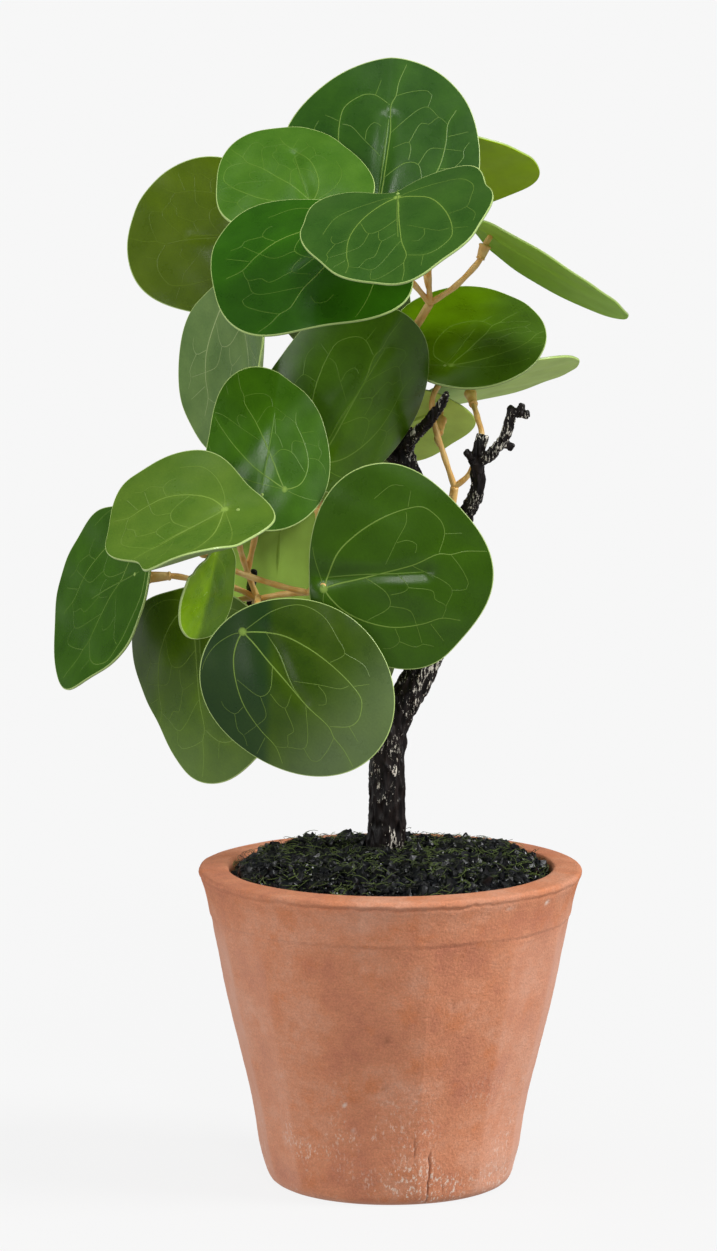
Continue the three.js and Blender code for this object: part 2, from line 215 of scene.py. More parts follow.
def tube(
    draft: MeshDraft, path: Array, radii: Array, sides: int,
    relief: Callable[[int, Array], Array] | None = None,
) -> None:
    """Adds a closed round bar along a path.

    Args:
        draft: The draft that gets it.
        path: The points of its axis.
        radii: Its radius at each of them.
        sides: How many points go round it.
        relief: What to add to the radius, given the station and the angle, or nothing.
    """
    ahead = np.gradient(path, axis=0)
    ahead /= np.linalg.norm(ahead, axis=1)[:, None]
    side = np.cross(ahead[0], (0.3, 0.2, 1.0) if abs(ahead[0][2]) < 0.9 else (1.0, 0.2, 0.0))
    angles = np.linspace(0, 2 * math.pi, sides, endpoint=False)
    rows = []
    for station, (place, along) in enumerate(zip(path, ahead)):
        side = side - along * (side @ along)
        side /= np.linalg.norm(side)
        other = np.cross(along, side)
        radius = np.full(sides, radii[station])
        if relief:
            radius = radius + relief(station, angles)
        rows.append(place + radius[:, None] * (np.cos(angles)[:, None] * side
                                               + np.sin(angles)[:, None] * other))
    faces = grid_faces(len(path), sides, True)
    last = len(path) * sides
    for i in range(sides):
        faces.append((last, (i + 1) % sides, i))
        faces.append((last + 1, last - sides + i, last - sides + (i + 1) % sides))
    draft.add(np.vstack([*rows, path[:1], path[-1:]]), faces)


def plain_mesh(piece: bpy.types.Object) -> None:
    """Puts what a piece's modifiers make into its mesh, and removes them.

    Args:
        piece: The piece, with its modifiers live.
    """
    seen = piece.evaluated_get(bpy.context.evaluated_depsgraph_get())
    made = bpy.data.meshes.new_from_object(seen)
    made.name = piece.name
    piece.modifiers.clear()
    piece.data = made


def declare(piece: bpy.types.Object, slot: str, *nodes: str) -> None:
    """Says what a finished piece rides on and stands for.

    Args:
        piece: The finished piece.
        slot: Not used.
        nodes: The nodes that it replaces, if any.
    """
    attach(piece, "root")
    if nodes:
        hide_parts(*nodes)
    faces = len(piece.data.polygons)
    log.info("%s: %d faces, for %s", piece.name, faces, ", ".join(nodes) or "no node")


# ------------------------------------------------------------------ finishes


class Pattern:
    """A material's node tree while it is drawn, with its principled shader."""

    def __init__(self, name: str, surface: dict[str, float | tuple]) -> None:
        """Makes a material with its shader.

        Args:
            name: The material's name.
            surface: Constant values by the names of the shader's sockets.
        """
        self.material = bpy.data.materials.new(name)
        self.material.use_nodes = True
        self.tree = self.material.node_tree
        self.tree.nodes.clear()
        self.shader = self.add("ShaderNodeBsdfPrincipled", surface)
        self.add("ShaderNodeOutputMaterial", links={"Surface": self.shader.outputs[0]})

    def add(self, kind: str, settings: dict | None = None, links: dict | None = None) -> bpy.types.Node:
        """Adds a node to this material, as add_node does."""
        return add_node(self.tree, kind, settings, links)

    def feed(self, socket: str, source: Socket) -> None:
        """Links a result to one of the shader's sockets."""
        self.tree.links.new(source, self.shader.inputs[socket])

    def sheet(self) -> Socket:
        """Returns places on the unbent, printed sheet."""
        return self.add("ShaderNodeUVMap", {"uv_map": "print"}).outputs[0]

    def place(self) -> Socket:
        """Returns places on the piece."""
        return self.add("ShaderNodeTexCoord").outputs["Object"]

    def stretched(self, place: Socket, scale: tuple[float, float, float]) -> Socket:
        """Returns places in which patterns get longer where the scale is below one."""
        return self.add("ShaderNodeMapping", {"Scale": scale}, {"Vector": place}).outputs[0]

    def mark(self, name: str) -> Socket:
        """Returns a point attribute of the piece."""
        return self.add("ShaderNodeAttribute", {"attribute_name": name}).outputs["Fac"]

    def noise(self, size: float, place: Socket, detail: float, roughness: float = 0.5) -> Socket:
        """Draws cloudy patches.

        Args:
            size: How far apart they are, in millimetres.
            place: The places that they are drawn in.
            detail: How many finer layers lie on them.
            roughness: How strong those layers are.

        Returns:
            A value about a half, mostly between 0.3 and 0.7.
        """
        settings = {"Scale": 1 / (size * MM), "Detail": detail, "Roughness": roughness}
        return self.add("ShaderNodeTexNoise", settings, {"Vector": place}).outputs[0]

    def span(
        self, value: Socket, low: float = 0.0, high: float = 1.0, to_low: float = 0.0, to_high: float = 1.0
    ) -> Socket:
        """Stretches a value from one range to another, and stops it at that one's ends.

        Args:
            value: The value.
            low: Where its range starts.
            high: Where it ends.
            to_low: What the start becomes.
            to_high: What the end becomes.

        Returns:
            The stretched value.
        """
        settings = {"From Min": low, "From Max": high, "To Min": to_low, "To Max": to_high}
        return self.add("ShaderNodeMapRange", settings, {"Value": value}).outputs[0]

    def mix(
        self, amount: Socket | float, under: Socket | str, over: Socket | str, way: str = "MIX"
    ) -> Socket:
        """Lays one colour over another.

        Args:
            amount: How far the upper one covers.
            under: The lower colour, as a result or as "#rrggbb".
            over: The upper colour, in the same way.
            way: How they are mixed.

        Returns:
            The mixed colour.
        """
        settings: dict = {"data_type": "RGBA", "blend_type": way}
        links = {}
        for socket, part in ((0, amount), (6, under), (7, over)):
            if isinstance(part, Socket):
                links[socket] = part
            else:
                settings[socket] = linear(part) if isinstance(part, str) else part
        return self.add("ShaderNodeMix", settings, links).outputs[2]

    def product(self, first: Socket, second: Socket) -> Socket:
        """Multiplies two values."""
        return self.add("ShaderNodeMath", {"operation": "MULTIPLY"}, {0: first, 1: second}).outputs[0]

    def total(self, first: Socket, second: Socket) -> Socket:
        """Adds two values."""
        return self.add("ShaderNodeMath", {"operation": "ADD"}, {0: first, 1: second}).outputs[0]

    def emboss(self, height: Socket, strength: float, depth: float) -> None:
        """Roughens the surface a little by a value.

        Args:
            height: The value.
            strength: How strongly it shows.
            depth: How deep it goes, in millimetres.
        """
        settings = {"Strength": strength, "Distance": depth * MM}
        self.feed("Normal", self.add("ShaderNodeBump", settings, {"Height": height}).outputs[0])


@dataclass(frozen=True)
class MouldedLeafFace:
    """Printed soft PVC: a leaf's face, with the veins and the pale cut edge printed on it.

    The eye sees a deep green that mottles over 17 mm, pale veins with a soft glow beside them,
    and a broad satin shine that a faint orange-peel breaks up. The veins shine a little less. Some leaves
    carry soft washes of painted shade and of painted sheen beside a line across them.
    """

    name: str
    shade: str
    light: str
    vein: str
    rim: str = "#b4cc7c"
    # The colours of the painted shade and the painted sheen washes.
    dusk: str = "#15371a"
    haze: str = "#8b9c74"
    roughness: float = 0.27
    vein_dullness: float = 0.35
    mottle: float = 17.0
    grain: float = 0.8

    def make(self) -> bpy.types.Material:
        """Draws the material.

        Returns:
            The material.
        """
        leaf = Pattern(self.name, {"IOR": 1.46, "Specular IOR Level": 0.36})
        sheet = leaf.sheet()
        mottle = leaf.noise(self.mottle, sheet, 4.0, 0.6)
        green = leaf.mix(leaf.span(mottle, 0.2, 0.8), self.shade, self.light)
        # Over the mottle go the printed glow by the main veins, then the painted shade and the painted sheen.
        for mark, colour in (("halo", self.light), ("dusk", self.dusk), ("haze", self.haze)):
            green = leaf.mix(leaf.mark(mark), green, colour)
        grain = leaf.noise(self.grain, sheet, 2.0)
        printed = leaf.mix(1.0, green, leaf.span(grain, to_low=0.86, to_high=1.14), "MULTIPLY")
        vein = leaf.mark("vein")
        veined = leaf.mix(vein, printed, self.vein)
        leaf.feed("Base Color", leaf.mix(leaf.mark("rim"), veined, self.rim))
        gloss = leaf.span(mottle, to_low=self.roughness - 0.05, to_high=self.roughness + 0.08)
        duller = leaf.add(
            "ShaderNodeMath", {"operation": "MULTIPLY_ADD", 1: self.vein_dullness}, {0: vein, 2: gloss})
        leaf.feed("Roughness", duller.outputs[0])
        leaf.emboss(grain, 0.12, 0.2)
        return leaf.material


@dataclass(frozen=True)
class MouldedLeafUnderside:
    """Unprinted soft PVC: a leaf's underside, pale, matte and a little cloudy over 9 mm. Its colour, set leaf
    by leaf, also carries a painted glow of light shining through.
    """

    name: str
    colour: str
    cloud: float = 9.0

    def make(self) -> bpy.types.Material:
        """Draws the material.

        Returns:
            The material.
        """
        under = Pattern(self.name, {"IOR": 1.46, "Roughness": 0.62, "Specular IOR Level": 0.24})
        tone = under.span(under.noise(self.cloud, under.sheet(), 5.0), to_low=0.8, to_high=1.2)
        under.feed("Base Color", under.mix(1.0, self.colour, tone, "MULTIPLY"))
        return under.material


@dataclass(frozen=True)
class FiredClay:
    """Unglazed terracotta, thrown and wiped.

    The eye sees a matte, slightly pink orange with soft clouds about 24 mm across and redder
    patches of 11 mm, level wiped streaks of a few millimetres and a half-millimetre speckle, with
    short dashes of pale salts near the foot, a few chalk specks, and a darker brown drawn in the
    cracks and pits. The wall carries a pale painted sheen where it turns away.
    """

    name: str = "unglazed_terracotta"
    body: str = "#d38c69"
    pale: str = "#d99e82"
    deep: str = "#c37c60"
    iron: str = "#cf7c4e"
    salt: str = "#efdccc"
    grazing_sheen: str = "#efc4b2"
    chalk: str = "#efe2d6"
    grime: str = "#6d3b2a"
    salt_line: float = 46.0
    wall_top: float = 94.0

    def fired(self, clay: Pattern, place: Socket) -> Socket:
        """Draws the fired colours.

        Args:
            clay: The material.
            place: Places on the pot.

        Returns:
            The colour.
        """
        ramp = clay.add("ShaderNodeValToRGB", {}, {"Fac": clay.noise(24, place, 10.0, 0.72)})
        deep, pale = ramp.color_ramp.elements
        deep.position, pale.position = 0.34, 0.68
        deep.color, pale.color = linear(self.deep), linear(self.pale)
        ramp.color_ramp.elements.new(0.5).color = linear(self.body)
        warm = clay.span(clay.noise(11, place, 5.0, 0.65), 0.54, 0.68, 0.0, 0.55)
        return clay.mix(warm, ramp.outputs[0], self.iron)

    def wiped(self, clay: Pattern, place: Socket) -> Socket:
        """Draws the wiped streaks and the speckle.

        Args:
            clay: The material.
            place: Places on the pot.

        Returns:
            A tone about one.
        """
        level = clay.stretched(place, (0.3, 0.3, 2.2))
        streaks = clay.span(clay.noise(2.2, level, 5.0, 0.8), 0.3, 0.7, 0.93, 1.07)
        speckle = clay.span(clay.noise(0.6, place, 3.0, 0.75), 0.3, 0.7, 0.84, 1.15)
        return clay.product(streaks, speckle)

    def salts(self, clay: Pattern, place: Socket, height: Socket) -> Socket:
        """Draws where salts have dried on the wall.

        Args:
            clay: The material.
            place: Places on the pot.
            height: Their height.

        Returns:
            How far the salts cover the clay.
        """
        low = clay.span(height, self.salt_line * MM, 6 * MM, 0.0, 0.9)
        upright = clay.stretched(place, (1.0, 1.0, 0.45))
        dashes = clay.span(clay.noise(0.9, upright, 3.0, 0.7), 0.55, 0.63)
        patches = clay.span(clay.noise(14, place, 4.0), 0.46, 0.58)
        return clay.product(clay.product(dashes, low), patches)

    def painted_grazing_sheen(self, clay: Pattern, height: Socket) -> Socket:
        """Draws a pale painted sheen on the wall where it turns away.

        Args:
            clay: The material.
            height: The height of places on the pot.

        Returns:
            How far the painted sheen covers the clay.
        """
        slant = clay.add("ShaderNodeLayerWeight", {"Blend": 0.5}).outputs["Facing"]
        wall = clay.span(height, self.wall_top * MM, 80 * MM)
        return clay.product(clay.span(slant, 0.3, 0.9, 0.0, 0.42), wall)

    def make(self) -> bpy.types.Material:
        """Draws the material.

        Returns:
            The material.
        """
        clay = Pattern(self.name, {"Roughness": 0.9, "Specular IOR Level": 0.25})
        place = clay.place()
        height = clay.add("ShaderNodeSeparateXYZ", {}, {0: place}).outputs[2]
        colour = clay.mix(1.0, self.fired(clay, place), self.wiped(clay, place), "MULTIPLY")
        colour = clay.mix(self.salts(clay, place, height), colour, self.salt)
        # A pale painted sheen where the wall turns away.
        colour = clay.mix(self.painted_grazing_sheen(clay, height), colour, self.grazing_sheen)
        colour = clay.mix(clay.mark("chalk"), colour, self.chalk)
        # Darker brown drawn in the cracks and in the pits that hold no chalk.
        clay.feed("Base Color", clay.mix(clay.mark("grime"), colour, self.grime))
        clay.emboss(clay.noise(1.0, place, 4.0, 0.6), 0.7, 0.5)
        return clay.material


@dataclass(frozen=True)
class PaintedBark:
    """Black-brown painted moulded bark: satin ridges with cream flecks where paint has caught.

    The ridges run upright, about 1.6 mm apart. The flecks are 0.5 to 2 mm, in loose clusters.
    """

    name: str = "painted_moulded_bark"
    dark: str = "#0f0b0b"
    brown: str = "#2c2422"
    fleck: str = "#ece5d6"

    def make(self) -> bpy.types.Material:
        """Draws the material.

        Returns:
            The material.
        """
        bark = Pattern(self.name, {"Roughness": 0.4, "Specular IOR Level": 0.22})
        place = bark.place()
        tall = bark.stretched(place, (1.0, 1.0, 0.26))
        ridges = bark.noise(1.6, tall, 4.0)
        ground = bark.mix(bark.span(ridges, 0.4, 0.72), self.dark, self.brown)
        clusters = bark.span(bark.noise(9, place, 2.0), 0.34, 0.66, -0.1, 0.11)
        shed = bark.total(bark.mark("worn"), clusters)
        flecks = bark.total(bark.noise(0.65, tall, 3.0, 0.75), shed)
        bark.feed("Base Color", bark.mix(bark.span(flecks, 0.66, 0.69), ground, self.fleck))
        bark.emboss(ridges, 0.7, 0.4)
        return bark.material


@dataclass(frozen=True)
class MouldedStem:
    """Tan polyethylene, injection moulded: satin, slightly waxy, in soft 4 mm clouds."""

    name: str = "tan_moulded_polyethylene"
    colour: str = "#f6cf86"
    deep: str = "#e6ae58"

    def make(self) -> bpy.types.Material:
        """Draws the material.

        Returns:
            The material.
        """
        stem = Pattern(self.name, {"Roughness": 0.42, "IOR": 1.5})
        cloud = stem.span(stem.noise(1 / 0.26, stem.place(), 3.0), 0.35, 0.65)
        stem.feed("Base Color", stem.mix(cloud, self.colour, self.deep))
        return stem.material


@dataclass(frozen=True)
class Granule:
    """Crushed dark filler: near-black grains, some blue-black, whose facets glint.

    The two tones change over 2 mm, and the pits on the facets are 0.7 mm across.
    """

    name: str = "crushed_dark_filler"
    dark: str = "#030304"
    light: str = "#14171c"
    roughness: float = 0.22

    def make(self) -> bpy.types.Material:
        """Draws the material.

        Returns:
            The material.
        """
        grain = Pattern(self.name, {"Roughness": self.roughness, "Specular IOR Level": 0.32})
        place = grain.place()
        tone = grain.span(grain.noise(2, place, 3.0), 0.4, 0.72)
        grain.feed("Base Color", grain.mix(tone, self.dark, self.light))
        grain.emboss(grain.noise(0.7, place, 2.0), 0.5, 0.2)
        return grain.material


@dataclass(frozen=True)
class MossFibre:
    """Dyed moss fibre: fine matte strands, yellowish green in some 9 mm patches and dark in others."""

    name: str = "dyed_moss_fibre"
    dark: str = "#181c10"
    light: str = "#74893f"

    def make(self) -> bpy.types.Material:
        """Draws the material.

        Returns:
            The material.
        """
        moss = Pattern(self.name, {"Roughness": 0.7})
        tone = moss.span(moss.noise(9, moss.place(), 3.0), 0.4, 0.66)
        moss.feed("Base Color", moss.mix(tone, self.dark, self.light))
        return moss.material


# ------------------------------------------------------------------ leaves


class Printed(Enum):
    """How strongly one line of the printed net shows."""

    MAIN = "main"
    LOOP = "loop"
    NET = "net"


@dataclass(frozen=True)
class Vein:
    """One printed vein, by the points that it passes: to the right of the stem, and tipward."""

    rank: Printed
    points: tuple[tuple[float, float], ...]

    def width(self) -> tuple[float, float]:
        """Returns half its width where it starts and where it ends."""
        return {Printed.MAIN: (0.3, 0.13), Printed.LOOP: (0.17, 0.12), Printed.NET: (0.13, 0.1)}[self.rank]

    def strength(self) -> tuple[float, float]:
        """Returns how far its colour covers the green, where it starts and ends."""
        return {Printed.MAIN: (0.9, 0.5), Printed.LOOP: (0.5, 0.4), Printed.NET: (0.45, 0.35)}[self.rank]


# Every leaf carries the same printed net.
VEINS = (
    Vein(Printed.MAIN, ((0, 0), (-0.5, 5), (-0.5, 11), (-1, 22), (-1.5, 30), (-3, 38.5), (-2, 42),
                        (-2, 46.5), (-0.5, 53.5))),
    Vein(Printed.MAIN, ((-0.5, 0.5), (-3.5, 2), (-10.5, 7), (-15, 14), (-18, 22), (-19.5, 31), (-19, 36.5),
                        (-15.5, 40), (-12.5, 41.5), (-9, 41.5), (-3.5, 38.5))),
    Vein(Printed.MAIN, ((0.5, 0.3), (2.5, 1), (8, 4.5), (13, 10.5), (17, 19), (18, 28.5), (17.5, 35),
                        (19.5, 40.5))),
    Vein(Printed.LOOP, ((-0.5, 0), (-3, -0.2), (-14, -0.5), (-23.5, 2.5), (-27.5, 9), (-26.5, 17), (-25, 22),
                        (-18.5, 22))),
    Vein(Printed.LOOP, ((0.5, 0), (4, -1), (13, -0.5), (22, 4), (26.5, 12))),
    Vein(Printed.NET, ((-25, 22), (-28, 28.5), (-27, 32))),
    Vein(Printed.NET, ((-18.5, 31), (-15.5, 30.5), (-10, 26), (-3.5, 21))),
    Vein(Printed.NET, ((-9.5, 26), (-9.5, 29.5), (-7.5, 32), (-5, 31))),
    Vein(Printed.NET, ((-9, 41.5), (-8, 47))),
    Vein(Printed.NET, ((-20, 32), (-25, 34))),
    Vein(Printed.LOOP, ((-0.8, 13.5), (6, 19.5), (10, 19.5), (13, 11.5))),
    Vein(Printed.NET, ((10, 19.5), (13, 25.5), (18, 26.5), (24, 27))),
    Vein(Printed.NET, ((6.5, 20.5), (6.5, 24.5), (5.5, 26.5), (0.5, 24))),
    Vein(Printed.NET, ((5.5, 26.5), (8.5, 34), (11, 34), (14, 37), (17.5, 35))),
    Vein(Printed.NET, ((-1.5, 29), (9, 40), (14, 37))),
    Vein(Printed.NET, ((-2, 42), (3.5, 44.5), (8.5, 45.5), (10, 44.5), (9.5, 40))),
    Vein(Printed.NET, ((17.5, 19.5), (22, 20), (23.5, 16.5), (23, 14.5))),
    Vein(Printed.NET, ((22, 20), (25, 25), (24.5, 27), (26, 30.5))),
    Vein(Printed.NET, ((18.5, 31), (25, 34))),
)


@dataclass(frozen=True)
class LeafMould:
    """The flat leaf: the stem meets it BASE from its near edge and TIP from its far one."""

    tip: float = 54.0
    base: float = 8.0
    half_width: float = 32.0
    thickness: float = 0.8
    egg: float = 0.06
    segments: int = 160
    rim: float = 0.28


MOULD = LeafMould()


@dataclass(frozen=True)
class Wash:
    """A soft wash on the right of a line across the flat leaf, used for painted shade and for painted sheen.
    """

    start: tuple[float, float]
    end: tuple[float, float]
    amount: float
    soft: float = 4.0

    def at(self, side: Array, along: Array) -> Array:
        """Finds how much of it lies on points of the flat leaf.

        Args:
            side: How far each is to the right of the stem.
            along: How far it is tipward.

        Returns:
            Its strength at each.
        """
        run, rise = self.end[0] - self.start[0], self.end[1] - self.start[1]
        off = ((side - self.start[0]) * rise - (along - self.start[1]) * run) / math.hypot(run, rise)
        share = np.clip(off / self.soft + 0.5, 0.0, 1.0)
        return self.amount * share * share * (3 - 2 * share)


@dataclass(frozen=True)
class Leaf:
    """One leaf: its place, turn and bends, and its colours.

    It is drawn flat and face on with its tip turned clockwise from straight up, and is then
    tipped by tilt so that its face looks toward a clock direction. Its halves cup toward (+) or
    away from (-) the face, its midrib bows, and its base bends. The net is laid on it by lay:
    what one millimetre sideways and one tipward on the net become on the leaf, and where its
    middle lands. The face dips softly along the crease. Where the moulding is not a plain oval,
    edge gives the turning points of its waves: their degrees clockwise from the tip, and how far
    out the edge lies there as a share of the oval's reach.
    """

    name: str
    at: tuple[float, float, float]
    tilt: float
    toward: float
    turn: float
    shade: str
    light: str
    size: float = 1.0
    broad: float = 1.0
    base: float = MOULD.base
    fold: float = 0.0
    cup: tuple[float, float] = (0.0, 0.0)
    bow: float = 0.0
    heel: float = 0.0
    lay: Lay = ((1.0, 0.0), (0.0, 1.0), (0.0, 0.0))
    ink: float = 1.0
    crease: tuple[tuple[float, float], ...] = ((0.0, -3.0), (0.3, 12.0), (0.0, 27.0))
    dent: float = 0.35
    under: str = "#8da368"
    edge: tuple[tuple[float, float], ...] = ()
    pegged: bool = True
    vein: str = "#8cab48"
    # Soft washes of painted shade and of painted sheen, where the leaf has them.
    dusk: Wash | None = None
    haze: Wash | None = None

    @property
    def middle(self) -> float:
        """Returns how far the flat leaf's middle is tipward of the stem."""
        return (MOULD.tip - self.base) / 2

    @property
    def half_length(self) -> float:
        """Returns how far the flat leaf's tip is from its middle."""
        return (MOULD.tip + self.base) / 2

    def turned(self) -> Array:
        """Works out how the flat leaf is turned into its place.

        Returns:
            The rotation.
        """
        def about_depth(angle: float) -> Array:
            """Returns a clockwise turn as the viewer sees it."""
            c, s = math.cos(math.radians(angle)), math.sin(math.radians(angle))
            return np.array([[c, 0, s], [0, 1, 0], [-s, 0, c]])

        c, s = math.cos(math.radians(self.tilt)), math.sin(math.radians(self.tilt))
        tip_back = np.array([[1, 0, 0], [0, c, s], [0, -s, c]])
        return about_depth(self.toward) @ tip_back @ about_depth(self.turn - self.toward)

    def reach(self, angle: Array) -> Array:
        """Finds how far the edge lies in some directions, as a share of the plain oval's.

        Args:
            angle: The directions from the tip, in radians.

        Returns:
            The shares, on smooth waves between the edge's turning points.
        """
        if not self.edge:
            return np.ones_like(angle)
        first, last = self.edge[0], self.edge[-1]
        knots = np.array([(last[0] - 360, last[1]), *self.edge, (first[0] + 360, first[1])])
        turn = np.mod(np.degrees(angle), 360)
        before = np.searchsorted(knots[1:-1, 0], turn, side="right")
        (start, low), (end, high) = knots[before].T, knots[before + 1].T
        return low + (high - low) * (1 - np.cos(math.pi * (turn - start) / (end - start))) / 2

    def flat(self, share: Array, angle: Array) -> tuple[Array, Array]:
        """Finds points of the flat outline and inside it.

        Args:
            share: How far each point is from the leaf's middle to its edge.
            angle: Its direction from the tip, in radians.

        Returns:
            How far each is to the right of the stem, and how far tipward.
        """
        share = share * (1 + (self.reach(angle) - 1) * share ** 1.5)
        side = share * MOULD.half_width * np.sin(angle) * (1 - MOULD.egg * np.cos(angle))
        return side, self.middle + share * self.half_length * np.cos(angle)

    def dip(self, side: Array, along: Array, width: float) -> Array:
        """Finds how near points are to the crease.

        Args:
            side: How far each is to the right of the stem.
            along: How far it is tipward.
            width: How far from the crease it has faded to about a third.

        Returns:
            One on the crease, falling to nothing beside it and past its ends.
        """
        near = np.full(np.broadcast(side, along).shape, 1e9)
        for (x0, y0), (x1, y1) in zip(self.crease, self.crease[1:]):
            run, rise = x1 - x0, y1 - y0
            share = np.clip(((side - x0) * run + (along - y0) * rise) / (run ** 2 + rise ** 2), 0, 1)
            off = (side - x0 - share * run) ** 2 + (along - y0 - share * rise) ** 2
            near = np.minimum(near, off)
        return np.exp(-near / width ** 2)

    def bent(self, side: Array, along: Array) -> Array:
        """Bends points of the flat leaf, before it is placed.

        Args:
            side: How far each is to the right of the stem.
            along: How far it is tipward.

        Returns:
            Points with the face toward -Y.
        """
        # The moulding isn't quite even: soft waves of a few tenths of a millimetre, and the crease.
        seed = sum(ord(letter) for letter in self.name)
        wave = (0.28 * np.sin(0.17 * side + seed) * np.sin(0.15 * along + 0.7 * seed)
                + 0.12 * np.sin(0.34 * side - 0.27 * along + 1.9 * seed)
                - self.dent * self.dip(side, along, 2.6))
        side = side * self.broad
        out = np.abs(side)
        swing = np.radians(np.where(side < 0, self.cup[0], self.cup[1])) / MOULD.half_width
        swing = np.where(np.abs(swing) < 1e-6, 1e-6, swing)
        sideways = np.sin(swing * out) / swing
        lift = (1 - np.cos(swing * out)) / swing
        crease = math.radians(self.fold)
        x = np.sign(side) * (sideways * math.cos(crease) - lift * math.sin(crease))
        raised = sideways * math.sin(crease) + lift * math.cos(crease) + wave
        curl = np.where(along < 0, math.radians(self.heel) / self.base, math.radians(self.bow) / MOULD.tip)
        curl = np.where(np.abs(curl) < 1e-6, 1e-6, curl)
        run = np.sin(curl * along) / curl
        drop = (1 - np.cos(curl * along)) / curl
        z = run - raised * np.sin(curl * along)
        off = drop + raised * np.cos(curl * along)
        return np.stack([x, -off, z], axis=-1)

    def surface(self, side: Array, along: Array, above: Array | float) -> Array:
        """Places points at a height above the leaf's middle surface.

        Args:
            side: How far each is to the right of the stem on the flat leaf.
            along: How far it is tipward.
            above: Its height toward the face, in true millimetres.

        Returns:
            The placed points.
        """
        side, along = np.asarray(side, float), np.asarray(along, float)
        step = 0.05
        across = self.bent(side + step, along) - self.bent(side - step, along)
        tipward = self.bent(side, along + step) - self.bent(side, along - step)
        normal = np.cross(across, tipward)
        normal /= np.linalg.norm(normal, axis=-1)[..., None]
        local = self.bent(side, along) * self.size + normal * np.asarray(above)[..., None]
        return local @ self.turned().T + np.array(self.at)


class LeafMaker:
    """Makes the blade of one leaf with its printed net, crease, rib and stem mark."""

    def __init__(self, leaf: Leaf) -> None:
        """Starts on one leaf."""
        self.leaf = leaf
        self.draft = MeshDraft()
        self.net = [self.printed(vein) for vein in VEINS]

    def printed(self, vein: Vein) -> Array:
        """Returns a vein's points where this leaf's print puts them."""
        path = spline(vein.points, 1.3)
        return path @ np.array(self.leaf.lay[:2]) + np.array(self.leaf.lay[2])

    def washes(self, side: Array, along: Array) -> dict[str, Array | float]:
        """Returns how much painted shade and painted sheen lie on points of the flat leaf."""
        return {"dusk": self.leaf.dusk.at(side, along) if self.leaf.dusk else 0.0,
                "haze": self.leaf.haze.at(side, along) if self.leaf.haze else 0.0}

    def glow(self, side: Array, along: Array) -> Array:
        """Finds how close points are to the main veins.

        Args:
            side: How far each is to the right of the stem.
            along: How far it is tipward.

        Returns:
            One beside a main vein, falling to nothing 4 mm away.
        """
        main = np.vstack([path for vein, path in zip(VEINS, self.net) if vein.rank is Printed.MAIN])
        flat = np.stack([side, along], axis=-1)
        near = np.min(np.linalg.norm(flat[:, None, :] - main[None], axis=-1), axis=1)
        stem = np.linalg.norm(flat - self.net[0][0], axis=-1)
        beside = 0.5 * np.exp(-(near / 1.6) ** 2) + 0.7 * np.exp(-(stem / 4.5) ** 2)
        return self.leaf.ink * beside

    def blade(self) -> None:
        """Adds the blade: the face, the rounded edge and the underside."""
        leaf, segments = self.leaf, MOULD.segments
        angle = np.linspace(0, 2 * math.pi, segments, endpoint=False)
        half = MOULD.thickness / 2
        band = MOULD.rim / MOULD.half_width / leaf.size
        shares = [*np.linspace(0.03, 0.95, 34), 0.975, 1 - 1.25 * band, 1 - band, 1 - 0.4 * band]
        inner = [(share, half) for share in shares]
        edge = [(1 - 0.1 * band, 0.75 * half), (1.0, 0.3 * half)]
        for sign, slot in ((1, 0), (-1, 1)):
            rows = [leaf.flat(np.full(segments, share), angle) for share, _ in inner + edge]
            side = np.concatenate([[leaf.flat(0.0, 0.0)[0]], *[row[0] for row in rows]])
            along = np.concatenate([[leaf.flat(0.0, 0.0)[1]], *[row[1] for row in rows]])
            above = np.concatenate([[half], *[np.full(segments, up) for _, up in inner + edge]])
            rim = np.concatenate([[0.0], *[np.full(segments, float(share >= 1 - 1.01 * band))
                                           for share, _ in inner + edge]])
            faces = [(0, 1 + (i + 1) % segments, 1 + i) for i in range(segments)]
            faces += [tuple(1 + i for i in face) for face in grid_faces(len(rows), segments, True)]
            faces = [face[::-1] for face in faces] if sign < 0 else faces
            # Moves the sheet's cloudy patches, so that no two leaves have them in the same places.
            shift = np.array([len(leaf.name) * 0.07, leaf.at[0]])
            self.draft.add(
                leaf.surface(side, along, sign * above), faces, slot,
                np.stack([side, along], axis=-1) + shift, rim=rim, halo=self.glow(side, along), vein=0.0,
                **self.washes(side, along))
        top = 1 + (len(rows) - 1) * segments
        low = top + 1 + len(rows) * segments
        ring = [(top + i, top + (i + 1) % segments, low + (i + 1) % segments, low + i)
                for i in range(segments)]
        self.draft.faces += ring
        self.draft.slots += [0] * segments

    def ribbon(
        self, path: Array, widths: Array, ground: float, crown: Array, slot: int, vein: Array | float
    ) -> None:
        """Adds a low rounded line that lies on the face or the underside.

        Args:
            path: The line on the flat leaf.
            widths: Half its width at each point.
            ground: The height of its sides above the middle surface.
            crown: How much higher its middle is at each point.
            slot: The material slot of its faces.
            vein: How much of the vein's colour its middle has.
        """
        ahead = np.gradient(path, axis=0)
        ahead /= np.linalg.norm(ahead, axis=1)[:, None] + 1e-9
        across = np.stack([ahead[:, 1], -ahead[:, 0]], axis=-1) * widths[:, None]
        sign = math.copysign(1.0, ground)
        rows, lines, values = [], [], []
        for place, up in ((-1, 0.0), (-0.5, 0.75), (0, 1.0), (0.5, 0.75), (1, 0.0)):
            line = path + place * across
            lines.append(line)
            rows.append(self.leaf.surface(line[:, 0], line[:, 1], ground + sign * up * crown))
            values.append(np.broadcast_to(min(1.0, 1.07 * up) * np.asarray(vein), (len(path),)))
        faces = grid_faces(len(lines), len(path), False)
        faces = faces if sign < 0 else [face[::-1] for face in faces]
        flat = np.vstack(lines)
        self.draft.add(np.vstack(rows), faces, slot, flat, vein=np.concatenate(values), rim=0.0,
                       halo=0.6, **self.washes(flat[:, 0], flat[:, 1]))

